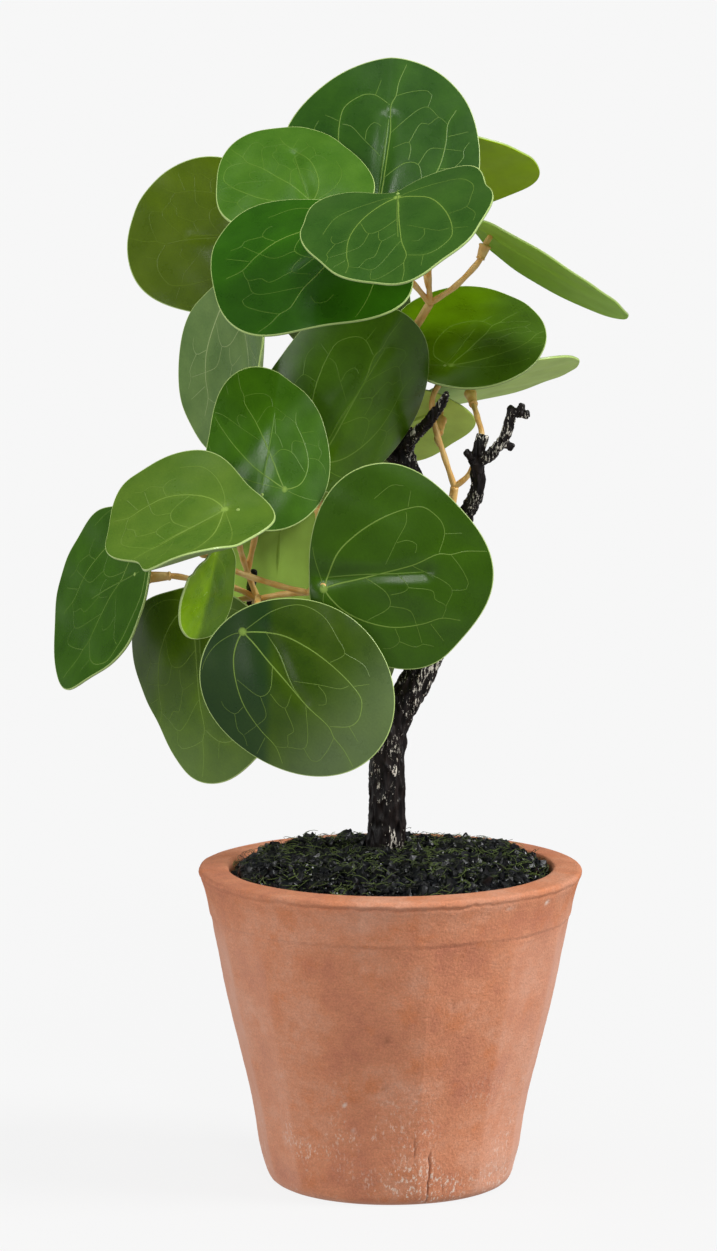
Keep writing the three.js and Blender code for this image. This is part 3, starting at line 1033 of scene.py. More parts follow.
    def inside(self, path: Array, margin: float) -> Array:
        """Finds which points of a line are on the leaf, clear of its edge.

        Args:
            path: The line on the flat leaf.
            margin: How clear of the edge they must be.

        Returns:
            Whether each point is.
        """
        out = (path[:, 1] - self.leaf.middle) / self.leaf.half_length
        wide = MOULD.half_width * (1 - MOULD.egg * out)
        edge = self.leaf.reach(np.arctan2(path[:, 0] / wide, out))
        return np.hypot(path[:, 0] / wide, out) < edge - margin / MOULD.half_width

    def veins(self) -> None:
        """Adds the printed net, a hair above the face."""
        for vein, path in zip(VEINS, self.net):
            kept = self.inside(path, 0.9)
            path = path[:len(path) if kept.all() else int(np.argmin(kept))]
            if len(path) < 3:
                continue
            share = np.linspace(0, 1, len(path))
            widths = np.interp(share, (0, 1), vein.width())
            strength = np.interp(share, (0, 1), vein.strength()) * self.leaf.ink
            self.ribbon(path, widths, MOULD.thickness / 2 + 0.015, np.full(len(path), 0.03), 0, strength)

    def crease_and_rib(self) -> None:
        """Adds the crease on the face and the rib under it."""
        path = spline(self.leaf.crease, 1.0)
        count = np.arange(len(path))
        fade = np.clip(np.minimum(count, len(path) - 1 - count) / 8, 0.0, 1.0)
        half = MOULD.thickness / 2
        self.ribbon(path, 0.2 + 0.12 * fade, half - 0.02, 0.03 + 0.12 * fade, 0, 0.35 * self.leaf.ink)
        self.ribbon(path, 0.4 + 0.7 * fade, 0.02 - half, 0.05 + 0.6 * fade, 1, 0.0)

    def button(
        self, centre: Array, radius: float, steps: tuple[tuple[float, float], ...], crown: float,
        sides: int = 14, **values: Array | float,
    ) -> None:
        """Adds a low round button on the face.

        Args:
            centre: Its middle on the flat leaf.
            radius: How wide it is from the middle.
            steps: Shares of that radius, and the height above the face there.
            crown: The height of its middle.
            sides: How many points go round it.
            values: Its point attributes.
        """
        angle = np.linspace(0, 2 * math.pi, sides, endpoint=False)
        half = MOULD.thickness / 2
        rows = []
        for share, up in steps:
            x, y = share * radius * np.cos(angle), share * radius * np.sin(angle)
            rows.append(self.leaf.surface(centre[0] + x, centre[1] + y, half + up))
        top, last = self.leaf.surface(centre[:1], centre[1:], half + crown), len(steps) * sides
        faces = grid_faces(len(steps), sides, True)
        faces += [(last - sides + i, last - sides + (i + 1) % sides, last) for i in range(sides)]
        self.draft.add(np.vstack([*rows, top]), faces, **values)

    def stem_marks(self) -> None:
        """Adds the peg's end where the stem passes, and the pale printed spot there."""
        if self.leaf.pegged:
            self.button(np.zeros(2), 0.7, ((1.0, -0.05), (0.8, 0.12), (0.4, 0.2)), 0.22,
                        vein=1.0, rim=0.35, halo=1.0)
        bright = self.leaf.ink * np.append(np.repeat([0.0, 0.75, 1.0], 14), 1.0)
        self.button(self.net[0][0], 1.5, ((1.0, 0.006), (0.7, 0.03), (0.35, 0.05)), 0.055,
                    vein=bright, rim=0.0, halo=1.0)

    def make(self) -> bpy.types.Object:
        """Makes the finished leaf.

        Returns:
            Its piece.
        """
        leaf = self.leaf
        self.blade()
        self.veins()
        self.crease_and_rib()
        self.stem_marks()
        face = MouldedLeafFace(f"printed_pvc_{leaf.name}", leaf.shade, leaf.light, leaf.vein).make()
        under = MouldedLeafUnderside(f"plain_pvc_{leaf.name}", leaf.under).make()
        return self.draft.build(f"{leaf.name}_blade", [face, under])


@dataclass
class Foliage:
    """All the leaves."""

    # Each leaf's shade and light colours are partly its own green and partly painted light and shade, set
    # leaf by leaf for the light that falls on it; the brighter undersides carry a painted glow of light
    # shining through.
    leaves: tuple[Leaf, ...] = (
        Leaf("leaf_top", (-3.4, 6, 311.8), 24, 0, 4, "#1d4211", "#3b6617", size=0.965, broad=1.03, fold=-6,
             cup=(-8, -8), bow=-8, lay=((0.93, -0.04), (0.11, 1.05), (-0.4, -2.9)),
             crease=((0.6, 33), (-0.1, 18), (-0.9, 3)), dent=0.9,
             edge=((30, 1.07), (90, 0.97), (125, 1.01), (160, 0.99), (190, 1.01), (222, 0.99), (273, 1.05),
                   (318, 1.00))),
        Leaf("leaf_upper_left", (-26.6, -15, 312.2), 50, 0, -12, "#356212", "#527d20", size=0.82,
             cup=(-8, -8), bow=-10, lay=((0.72, 0.46), (-0.47, 0.78), (4.1, 6.2)), ink=0.45,
             crease=((2.5, 34.9), (2.3, 20.8), (2.9, 4)), dent=0.8,
             edge=((10, 0.99), (65, 0.85), (143, 1.03), (180, 0.97), (230, 1.09), (280, 0.94), (330, 1.03))),
        Leaf("leaf_far_left", (-43, 47, 301), 18, -56, -90, "#475f02", "#607802", size=0.82, cup=(-8, -8),
             bow=-8, ink=0.15,
             edge=((20, 1.00), (245, 1.00), (278, 0.96), (330, 1.08))),
        Leaf("leaf_left_front", (-6.6, -40, 310), 57, -8, -132, "#1f4b04", "#346907", size=1.05,
             cup=(-8, -8), bow=-12, lay=((1.16, 0.09), (-0.16, 0.93), (-1.2, 3.6)),
             edge=((30, 0.94), (95, 1.15), (141, 0.92), (179, 1.05), (216, 0.91), (256, 1.07), (301, 0.88),
                   (345, 1.01))),
        Leaf("leaf_front", (1.8, -58, 320.6), 67, -13, 173, "#264f14", "#436a21", size=0.97, cup=(5, 5),
             bow=-12, lay=((0.89, 0.2), (0, 0.94), (0.2, 2.4)),
             edge=((0, 0.91), (20, 0.85), (42, 0.88), (64, 0.86), (108, 0.98), (141, 1.13), (176, 0.79),
                   (213, 1.23), (243, 1.00), (290, 0.84), (322, 0.80))),
        Leaf("leaf_upper_right", (-0.7, 51, 323.3), 118, 0, 92, "#5a6e14", "#73881c", size=0.9,
             cup=(-8, -8), bow=-8, under="#a9c902",
             edge=((5, 1.03), (50, 1.00), (120, 0.98), (160, 1.01), (200, 0.99), (250, 1.01), (310, 0.91))),
        Leaf("leaf_edge_on", (31.8, -5, 305), 101, 32, 122, "#4a6a22", "#688c34", size=0.93, cup=(-5, -5),
             under="#9ac744"),
        Leaf("leaf_right", (17.4, 14, 261.6), 55, 0, 27, "#476602", "#608902", size=0.81, cup=(-8, -8),
             bow=-8, lay=((0.86, 0.39), (0.15, 0.83), (2.2, 1.2)), ink=0.75,
             dusk=Wash((4, 0), (0, 50), 0.4, 14),
             edge=((30, 1.015), (100, 0.925), (184, 1.12), (240, 0.97), (322, 1.10))),
        Leaf("leaf_right_under", (24.8, 31, 255.3), 105, -14, 19, "#4f7a2c", "#6b9140", size=0.85,
             under="#c9e781"),
        Leaf("leaf_behind_twig", (16.3, 30, 246.6), 125, 0, -51, "#4f7a2c", "#6b9140", size=0.75,
             under="#d2ef6d",
             edge=((15, 0.98), (57, 1.08), (107, 0.87), (152, 1.05), (185, 1.00), (345, 1.00))),
        Leaf("leaf_middle", (-22.3, -19, 235.3), 12, 90, 30, "#385702", "#578402", fold=-16, cup=(-45, -40),
             bow=-10, lay=((0.78, -0.02), (0.03, 0.97), (0.8, -0.7)), ink=0.62,
             crease=((1.8, 42), (0.9, 31.5), (0.3, 21.6), (-0.3, 13.5), (-0.3, 3)), dent=0.8,
             dusk=Wash((0, 50), (0, 0), 0.3, 8),
             edge=((30, 1.01), (65, 1.00), (118, 0.88), (165, 1.03), (200, 0.98), (235, 1.02), (276, 0.91),
                   (316, 0.97), (340, 0.96))),
        Leaf("leaf_left_hanging", (-47.3, 22, 279.6), 56, -92, 188, "#4c6e33", "#75924c", size=1.05,
             cup=(45, 15), bow=-5, lay=((1.01, 0.39), (-0.07, 0.97), (0.5, -8.7)), ink=0.95, vein="#c2d294",
             crease=((-1, 4), (-2, 8), (-5.1, 14.8), (-6.5, 20)), dent=0.5,
             edge=((18, 0.96), (50, 1.01), (103, 0.90), (135, 0.93), (180, 1.04), (220, 0.94), (266, 1.10),
                   (305, 0.97), (345, 1.03))),
        Leaf("leaf_middle_front", (-40, -44, 226.9), 22, 12, 8, "#2d5409", "#447209", size=0.8, broad=0.83,
             base=14, fold=-6, cup=(-12, -10), bow=-10, lay=((1.13, -0.12), (-0.53, 0.85), (10.1, 3.6)),
             ink=0.85, crease=((-0.4, 3.5), (0.2, 18), (0.8, 33.9)), dent=0.2,
             edge=((22, 0.85), (60, 0.88), (130, 1.01), (220, 1.01), (271, 0.90), (320, 1.09))),
        Leaf("leaf_left_wide", (-47, -60, 223.9), 50, -12, -104, "#466c1c", "#67862a", size=0.89, base=12,
             cup=(50, 5), bow=-10, lay=((1.03, 0.03), (-0.27, 0.93), (1.7, 4.5)),
             crease=((1.7, 3), (-2, 16), (-5.8, 29)),
             edge=((0, 0.81), (18, 0.79), (68, 0.98), (110, 1.03), (157, 0.85), (196, 1.03), (220, 0.94),
                   (268, 1.24), (321, 0.66))),
        Leaf("leaf_outer_left", (-80.2, -25, 199.7), 62, -69, -103, "#2a5002", "#416f02", cup=(5, 5),
             bow=-5, lay=((0.76, 0.8), (-0.66, 0.85), (12.5, -5.1)), ink=0.8,
             edge=((22, 0.97), (60, 0.93), (80, 0.93), (107, 0.89), (160, 1.11), (200, 1.02), (218, 1.04),
                   (263, 0.89), (302, 1.02), (345, 0.91))),
        Leaf("leaf_small", (-54.7, -54, 209.8), 57, 100, 190, "#547c02", "#83aa02", size=0.5, cup=(10, 0),
             ink=0.2, crease=((-0.9, 5), (-5, 15), (-10.2, 24.5)), dusk=Wash((1, 40), (-4, -5), 0.5, 6),
             edge=((35, 1.05), (108, 0.77), (124, 0.655), (156, 0.65), (195, 1.05), (259, 0.80),
                   (334, 1.01), (355, 0.99))),
        Leaf("leaf_low_left", (-60.4, -24, 187.7), 40, -90, 177, "#3b5b02", "#5d7d02", cup=(-20, -20),
             bow=-5, lay=((0.98, -0.04), (0.02, 1.02), (2.4, -1.9)),
             haze=Wash((30, 40), (-30, 40), 0.2, 30),
             edge=((3, 1.03), (58, 0.86), (116, 1.19), (165, 1.00), (200, 1.01), (230, 0.99), (265, 1.01),
                   (315, 0.96))),
        Leaf("leaf_low_front", (-42.7, -60, 186.1), 8, 0, 140, "#244102", "#456002", size=0.97, broad=0.93,
             cup=(-25, -25), bow=-5, lay=((0.9, -0.12), (0.03, 1.05), (2.3, -2.3)),
             crease=((-3.6, 2), (-2.2, 10.5), (1.2, 20.4), (2, 27)), dent=0.6, pegged=False,
             dusk=Wash((-3.2, 5), (24.5, 34), 0.68), haze=Wash((30, 40), (-30, 34), 0.32, 26),
             edge=((70, 0.895), (152, 1.05), (230, 0.915), (332, 1.045))),
        Leaf("leaf_low_right", (-21.2, -45, 198.6), 5, 0, 77, "#2d4e02", "#3f6702", size=0.97, broad=1.05,
             base=6, cup=(-8, -8), bow=-5, heel=-25, lay=((0.94, -0.01), (0.01, 1), (0.9, 0)),
             crease=((-2.5, 0.3), (-0.8, 12.3), (1.3, 23.2), (2.8, 32.7)), dent=1.1,
             edge=((18, 1.04), (58, 0.97), (78, 0.99), (118, 0.93), (155, 1.01), (198, 0.92), (276, 1.03),
                   (328, 0.93))),
        Leaf("leaf_low_under", (-34.6, 5, 222.2), 140, -90, 180, "#4f7a2c", "#6b9140", size=0.85,
             under="#98bb4c", crease=((-1.3, 14), (-2, 22), (-2.7, 31))),
        Leaf("leaf_back_top", (-11, 40, 292.6), 150, 0, -16, "#2c5c20", "#4b7a30", size=0.68, cup=(-8, -8),
             bow=-8),
        Leaf("leaf_back_middle", (-10, 26, 232), 155, 0, -15, "#28480c", "#3f6a1c", size=0.8, cup=(-8, -8),
             bow=-8),
        Leaf("leaf_back_low", (-24, 28, 182), 160, 0, 8, "#2f5414", "#4a7524", size=0.75, cup=(-8, -8),
             bow=-8),
    )

    def leaf(self, name: str) -> Leaf:
        """Returns the leaf of that name."""
        return next(leaf for leaf in self.leaves if leaf.name == name)

    def build(self) -> None:
        """Makes every leaf and sets it in its node's place."""
        for leaf in self.leaves:
            declare(LeafMaker(leaf).make(), "leaf", leaf.name)


# ------------------------------------------------------------------ trunk


@dataclass(frozen=True)
class Limb:
    """A length of the trunk: its route, and its radius at the start and the end."""

    route: Route
    start: float
    end: float


@dataclass
class Trunk:
    """The bare moulded trunk with its limbs, twigs and stubs."""

    voxel: float = 0.38
    ridge: float = 0.45
    grain: float = 0.75
    # Where the paint is rubbed, from the front: the middle's x and z, and half the width and height.
    rubbed: tuple[tuple[float, float, float, float], ...] = (
        (-1.6, 119, 1.6, 7), (0.9, 114, 1.0, 6), (-3, 128, 1.4, 5), (1.4, 132, 1.2, 4), (14.5, 172, 1.7, 8),
        (12, 164, 1.5, 4), (9, 158, 1.6, 4), (37, 246, 3, 7), (33, 238, 3, 4), (15, 250, 4, 6),
        (9, 243, 3, 4), (-30, 182, 6, 3), (-43, 196, 3, 5), (26, 226, 2, 5),
    )
    limbs: tuple[Limb, ...] = (
        Limb(((-1.2, 0, 84), (-1.2, 0, 109), (-1.1, -1, 124), (-0.9, -1, 142), (1.2, -0.5, 150),
              (6.7, 0, 159.5), (10, 1, 166), (13.4, 2.5, 175)), 6.1, 4.8),
        Limb(((11.5, 2, 170), (15.2, 4, 184.5), (15.8, 6, 195.5), (13.2, 9, 210), (8.8, 11, 221),
              (4.9, 12, 231), (2.4, 13, 245), (2.3, 12, 257), (4.2, 9, 267.5)), 4.7, 2.6),
        Limb(((14.2, 4, 186), (19, 4, 203), (24.1, 0, 215.6), (27.7, -3, 224.7), (27.4, -5, 232)), 3.2, 2.1),
        Limb(((27.3, -5, 229.5), (27.6, -5, 235), (29.2, -4, 241.5)), 2.1, 1.9),
        Limb(((8.5, 1, 167), (-3.4, -4, 175.3), (-19.2, -10, 179.3), (-36.6, -14, 184.3), (-43.8, -15, 189),
              (-43.4, -14, 199.6)), 3.2, 1.2),
        Limb(((4, 12, 234), (7, 6, 239.5), (12.4, -2, 246.1), (18, -8, 254.8)), 2.2, 1.3),
        Limb(((7, 8, 238), (5.6, 9, 242.2)), 1.6, 1.2),
        Limb(((4, 12, 231), (-1.5, 9, 233.6)), 2.0, 1.5),
        Limb(((27, -5, 233), (31, -7, 235), (35.4, -9, 240.6), (37.5, -11, 246.5), (37.6, -12, 251.2)),
             1.9, 1.4),
        Limb(((37.5, -11.8, 249.6), (43.2, -14, 248.8)), 1.4, 1.2),
        Limb(((40.2, -12.8, 249), (41.3, -13, 252.1)), 1.1, 0.9),
        Limb(((34.6, -8.8, 240), (38.4, -8, 237.7)), 1.4, 1.1),
        Limb(((27, -5, 232.5), (23.6, -9, 236.8)), 1.5, 1.0),
        Limb(((-2.4, 0, 98), (-2.1, 0, 107), (-1.4, -0.5, 116)), 6.6, 5.2),
        Limb(((1.6, -0.5, 138), (2.9, -1, 142.5), (2.6, -0.5, 147)), 2.4, 2.2),
        Limb(((12.5, 1, 176), (15.6, 0.5, 181), (14.5, 2, 187)), 3.2, 2.8),
    )

    def build(self) -> None:
        """Makes the trunk as one skin and dresses it."""
        draft = MeshDraft()
        for number, limb in enumerate(self.limbs):
            path = spline(limb.route, 0.8)
            radii = np.linspace(limb.start, limb.end, len(path))

            def ridges(station: int, angle: Array) -> Array:
                """Finds how high the ridges along the limb stand.

                Args:
                    station: Which sample of the limb's path it is.
                    angle: Directions round the limb.

                Returns:
                    What they add to the radius.
                """
                wander = 0.9 * math.sin(station * 0.09 + number)
                coarse = np.sin(5 * angle + wander) * 0.5
                fine = np.sin(9 * angle - 1.7 * wander + number) * 0.5
                return self.ridge * radii[station] / 5.9 * (coarse + fine)

            tube(draft, path, radii, 40, relief=ridges)
        trunk = draft.build("trunk_bark", [PaintedBark().make()])
        skin = trunk.modifiers.new("skin", "REMESH")
        skin.mode = "VOXEL"
        skin.voxel_size = self.voxel * MM
        skin.use_smooth_shade = True
        plain_mesh(trunk)
        self.roughen(trunk)
        declare(trunk, "bark", "trunk")

    def roughen(self, trunk: bpy.types.Object) -> None:
        """Raises knots and torn grain on the trunk's skin, and marks where its paint is rubbed.

        Args:
            trunk: The trunk's piece.
        """
        mesh = trunk.data
        count = len(mesh.vertices)
        places, normals = np.empty(count * 3, np.float32), np.empty(count * 3, np.float32)
        mesh.vertices.foreach_get("co", places)
        mesh.vertex_normals.foreach_get("vector", normals)
        places, normals = places.reshape(-1, 3) / MM, normals.reshape(-1, 3)
        grain = np.array([noise.noise(Vector(row)) for row in places * (0.62, 0.62, 0.17)])
        lump = np.array([noise.noise(Vector(row)) for row in places * 0.22])
        torn = 1 - 2 * np.abs(grain)
        places = places + normals * (self.grain * (torn - 0.6) + 0.35 * lump)[:, None]
        mesh.vertices.foreach_set("co", (places * MM).ravel().astype(np.float32))
        worn = np.zeros(count)
        for x, z, wide, tall in self.rubbed:
            worn += np.exp(-((places[:, 0] - x) / wide) ** 2 - ((places[:, 2] - z) / tall) ** 2)
        worn = np.clip(worn, 0.0, 1.0) * np.clip(2.2 * torn - 1.0, -0.3, 1.0) - 0.5 * (torn < 0.35)
        layer = mesh.attributes.new("worn", "FLOAT", "POINT")
        layer.data.foreach_set("value", 0.1 * worn)
        mesh.update()


# ------------------------------------------------------------------ sprays


@dataclass(frozen=True)
class Branch:
    """A stem of a spray that carries one leaf."""

    leaf: str
    route: Route


@dataclass(frozen=True)
class Spray:
    """One moulding of stems."""

    name: str
    stem: Route
    branches: tuple[Branch, ...]


@dataclass
class Sprays:
    """The tan plastic sprays, with a socket behind each leaf.

    The sleeve tells a socket's radius at shares of its length, from a collar to the flared mouth.
    """

    foliage: Foliage
    main: float = 1.35
    branch: float = 0.95
    reach: float = 4.0
    socket: float = 9.0
    sleeve: tuple[tuple[float, float], ...] = (
        (0.0, 0.9), (0.02, 1.35), (0.1, 1.5), (0.12, 1.3), (0.3, 1.45), (0.55, 1.65), (0.8, 1.8),
        (0.86, 2.05), (0.94, 2.05), (1.0, 1.5),
    )
    sprays: tuple[Spray, ...] = (
        Spray("spray_upper", ((4.2, 9, 265), (5, 6, 270.5), (8.8, 0, 276.8), (12.3, -4, 283)), (
            Branch("leaf_edge_on", ((12.3, -4, 283), (19.7, -6, 288.1), (25.2, -6, 293.5), (28, -6.2, 297))),
            Branch("leaf_left_front", ((12.3, -4, 283), (7, -10, 289.7), (0, -24, 297), (-4, -33, 303))),
            Branch("leaf_front", ((12.3, -4, 283), (11.8, -12, 293), (12.8, -30, 303), (9, -45, 311))),
            Branch("leaf_top", ((12, -7, 288), (9, 4, 297), (2, 10, 304))),
            Branch("leaf_upper_left", ((9, 3, 296), (-4, 2, 303), (-18, -4, 306))),
            Branch("leaf_far_left", ((-2, 2, 302), (-14, 24, 304), (-30, 50, 302))),
            Branch("leaf_upper_right", ((9, 4, 296), (6, 18, 304), (2, 37, 311))),
            Branch("leaf_back_top", ((8.5, 5, 296), (0, 18, 296), (-8, 28, 289))),
        )),
        Spray("spray_right", ((14.2, 8, 204), (18.3, 8, 211.3), (19.9, 8, 220), (20.4, 8, 223.4)), (
            Branch("leaf_right", ((20.4, 8, 223.4), (16.6, 8, 235), (13.6, 10, 245.2), (13.4, 11.5, 251.5),
                                  (15.6, 14, 256))),
            Branch("leaf_right_under", ((20.4, 8, 223.4), (25.1, 8, 227.7), (29, 9, 239.8), (27.8, 13, 245))),
            Branch("leaf_behind_twig", ((16, 8, 236.8), (14.8, 15, 238), (15.6, 22, 239))),
        )),
        Spray("spray_left", ((-42.6, -14.6, 188), (-42.4, -19, 190), (-41.8, -22, 191.4)), (
            Branch("leaf_left_wide", ((-41.8, -22, 191.4), (-44.3, -26, 198.7), (-46.8, -36, 208.5),
                                      (-47.2, -48, 215.5))),
            Branch("leaf_middle_front", ((-44.8, -28, 201.5), (-42.5, -33, 212), (-40.8, -38, 219))),
            Branch("leaf_outer_left", ((-41.8, -22, 191.4), (-48.7, -23, 195), (-63, -23.5, 198.1),
                                       (-69, -22, 198.8))),
            Branch("leaf_low_right", ((-41.8, -22, 191.4), (-35, -26, 193.4), (-25.7, -32, 195))),
            Branch("leaf_small", ((-26.2, -31.6, 194.8), (-36, -34, 197.6), (-49.2, -37, 202.6),
                                  (-56, -42, 207.5))),
            Branch("leaf_low_left", ((-43, -22, 192), (-48, -17, 190.5), (-54, -16, 188.4))),
            Branch("leaf_low_front", ((-41.8, -22, 191.4), (-41.5, -34, 193.4), (-42, -48, 190.5))),
        )),
        Spray("spray_middle", ((-19.8, -10, 179), (-20.4, -8, 190), (-22, -8, 205), (-22.6, -9, 219)), (
            Branch("leaf_middle", ((-22.6, -9, 218), (-22.8, -10.5, 227))),
            Branch("leaf_low_under", ((-22.6, -9, 216), (-25, -4, 221), (-28, -2, 222.4))),
            Branch("leaf_left_hanging", ((-22.6, -9, 218), (-22, 4, 240), (-23.5, 17, 263),
                                         (-30.5, 21, 276))),
            Branch("leaf_back_middle", ((-22.4, -8.6, 214), (-17, 3, 220), (-11.5, 16, 228))),
            Branch("leaf_back_low", ((-20, -9, 184), (-12, 3, 182), (-18, 18, 186))),
        )),
    )

    def carry(self, draft: MeshDraft, branch: Branch) -> None:
        """Adds a branch and the socket that holds its leaf.

        Args:
            draft: The draft of the spray.
            branch: The branch.
        """
        leaf = self.foliage.leaf(branch.leaf)
        facing = np.array([0.0, -1.0, 0.0]) @ leaf.turned().T
        seat = np.array(leaf.at)
        back, touch = seat - facing * self.reach, seat - facing * (MOULD.thickness / 2 - 0.1)
        path = spline((*branch.route, tuple(back), tuple(touch)), 0.9)
        swell = 0.08 * np.sin(np.arange(len(path)) * 0.7)
        tube(draft, path, self.branch * (1 + swell), 12)
        last = np.array(branch.route[-1])
        whole = np.linalg.norm(back - last)
        start = last + (back - last) * max(0.0, 1 - self.socket / whole)
        share, radii = np.array(self.sleeve).T
        tube(draft, start + share[:, None] * (back - start), radii, 16)

    def build(self) -> None:
        """Makes each spray and sets it in its node's place."""
        finish = MouldedStem().make()
        for spray in self.sprays:
            draft = MeshDraft()
            stem = spline(spray.stem, 0.9)
            tube(draft, stem, np.full(len(stem), self.main), 14)
            for branch in spray.branches:
                self.carry(draft, branch)
            piece = draft.build(f"{spray.name}_moulding", [finish])
            declare(piece, "stem_plastic", spray.name)


# ------------------------------------------------------------------ pot and soil


@dataclass(frozen=True)
class Crack:
    """A hairline up the clay: its turn to the right of the front, its ends and its depth."""

    turn: float
    low: float
    high: float
    depth: float


@dataclass(frozen=True)
class Pit:
    """A round mark in the clay: its turn, height, radius and depth, and whether chalk fills it."""

    turn: float
    height: float
    radius: float
    depth: float
    chalk: float = 0.0


@dataclass
class Pot:
    """The hand-finished clay pot, with the flats, folds, cracks and pits of its making.

    The profile runs from the foot, over the lip and down inside. Flats are told by the turns of
    the soft corners between them. The fold is a torn ledge below the lip and the lap a faint line
    at the foot of the collar.
    """

    columns: int = 250
    step: float = 0.4
    fine_above: float = 84.0
    fold: float = 99.4
    lap: float = 86.6
    wall_radius: float = 50.0
    foot_radius: float = 44.0
    flat_depth: float = 0.85
    flats: tuple[float, ...] = (-180, -141, -92, -66, -45, 12, 42, 68, 93, 140, 180)
    cracks: tuple[Crack, ...] = (
        Crack(17, -2, 19, 0.7), Crack(10.4, 15, 24, 0.35), Crack(24, 2, 8, 0.35),
        Crack(-150, -2, 14, 0.5), Crack(96, 60, 84, 0.3),
    )
    pits: tuple[Pit, ...] = (
        Pit(-1.4, 56, 1.1, 0.5), Pit(-2.2, 40, 0.9, 0.4), Pit(21.3, 67, 0.8, 0.4),
        Pit(-19, 33.6, 0.6, 0, 0.9), Pit(-15.6, 25, 0.5, 0, 0.9), Pit(135, 50, 1.2, 0.5),
        Pit(-120, 62, 1.0, 0.4), Pit(-95, 30, 0.6, 0, 0.9), Pit(55, 97, 0.7, 0.3, 0.9),
        Pit(38, 97.5, 0.5, 0.2, 0.8), Pit(9, 66, 0.5, 0.2), Pit(-31, 71, 0.5, 0.2),
    )
    profile: Route = (
        (36.5, 0), (38.3, 1), (39.6, 3), (40.6, 6.5), (41.7, 11), (43, 20), (44.7, 29), (46.8, 37.7),
        (49, 46.7), (51.2, 55.6), (53.2, 64.5), (54.9, 73.4), (56.5, 81), (57.3, 85.4), (57.6, 86.6),
        (57.95, 87.5), (58.2, 89), (58.65, 91.3), (59.2, 93.8), (59.9, 96.4), (61, 99.4), (61.4, 100.6),
        (61.3, 101.6), (60.6, 102), (58.5, 102.2), (54, 102.5), (52.6, 102.3), (51.9, 101.5),
        (51.7, 98), (49.4, 82), (44, 55), (37.8, 24), (34.6, 10), (32, 8),
    )

    def turns(self) -> Array:
        """Spaces the columns of faces, which are closer set near the front cracks.

        Returns:
            Their directions, in degrees to the right of the front.
        """
        even = np.linspace(-180, 180, self.columns, endpoint=False)
        close = np.linspace(6, 28, 76)
        return np.concatenate([even[even < 5.6], close, even[even > 28.4]])

    def crack_at(self, crack: Crack, turn: float, height: float) -> tuple[float, float]:
        """Finds a wandering crack near a place of the wall.

        Args:
            crack: The crack.
            turn: The place's direction, in degrees to the right of the front.
            height: Its height.

        Returns:
            How far the crack is open there, and how far the place is from it.
        """
        opened = min(1.0, max(0.0, min(height - crack.low, crack.high - height) / 3))
        wander = crack.turn + 1.1 * noise.noise(Vector((0, crack.turn, height * 0.35)))
        return opened, math.radians(turn - wander) * self.foot_radius

    def pit_at(self, pit: Pit, turn: float, height: float) -> float:
        """Finds how near a place of the wall is to a pit.

        Args:
            pit: The pit.
            turn: The place's direction, in degrees to the right of the front.
            height: Its height.

        Returns:
            One in its middle, falling to nothing past its edge.
        """
        off = math.hypot(math.radians(turn - pit.turn) * self.wall_radius, height - pit.height)
        return math.exp(-(off / pit.radius) ** 2)

    def stand(self, place: Vector, turn: float, outside: bool) -> float:
        """Finds how far the clay stands out at a place.

        Args:
            place: The place on the turned shape.
            turn: Its direction, in degrees to the right of the front.
            outside: Whether it is on the outer wall.

        Returns:
            How far out it is moved.
        """
        out = 0.4 * noise.noise(Vector((place.x * 0.035, place.y * 0.035, place.z * 0.012)))
        out += 0.2 * noise.noise(Vector((place.x * 0.1, place.y * 0.1, place.z * 0.02 + 5)))
        out += 0.09 * noise.noise(place * 0.4) + 0.04 * noise.noise(place * 1.1)
        if not outside:
            return out
        wall = min(1.0, place.z / 6) * min(1.0, max(0.0, (88 - place.z) / 6))
        first = max(i for i, edge in enumerate(self.flats[:-1]) if turn >= edge)
        share = (turn - self.flats[first]) / (self.flats[first + 1] - self.flats[first])
        out -= self.flat_depth * wall * (0.67 - (2 * share - 1) ** 2)
        ragged = 0.9 * noise.noise(Vector((turn * 0.13, 0, 2)))
        ragged += 0.5 * noise.noise(Vector((turn * 0.5, 0, 8)))
        fold = place.z - self.fold - ragged
        strong = 0.25 + 0.75 * max(0.0, 1 - abs(turn + 5) / 36)
        out -= 0.9 * strong * math.exp(-(fold / 0.5) ** 2)
        out += 0.5 * strong * math.exp(-((fold - 1.1) / 0.7) ** 2)
        lap = place.z - self.lap - 0.9 * noise.noise(Vector((turn * 0.05, 0, 4)))
        faint = 0.45 + 0.55 * noise.noise(Vector((turn * 0.07, 0, 9)))
        out -= 0.32 * faint * math.exp(-(lap / 0.45) ** 2)
        for crack in self.cracks:
            opened, off = self.crack_at(crack, turn, place.z)
            out -= crack.depth * opened * math.exp(-(off / 0.33) ** 2)
        for pit in self.pits:
            out -= pit.depth * self.pit_at(pit, turn, place.z)
        return out * min(1.0, 0.25 + place.z / 8)

    def marks(self, turn: float, height: float) -> tuple[float, float]:
        """Finds the chalk and the darker tone at a place of the outer wall.

        Args:
            turn: Its direction, in degrees to the right of the front.
            height: Its height.

        Returns:
            How much chalk lies there, and how far the clay is drawn darker there.
        """
        # The clay is drawn darker in the cracks and in the pits that hold no chalk.
        chalk, grime = 0.0, 0.0
        for pit in self.pits:
            near = self.pit_at(pit, turn, height)
            chalk += pit.chalk * near
            grime += 0.35 * (1 - pit.chalk) * near
        for crack in self.cracks:
            opened, off = self.crack_at(crack, turn, height)
            grime += 0.8 * crack.depth * opened * math.exp(-(off / 0.3) ** 2)
        return min(1.0, chalk), min(1.0, grime)

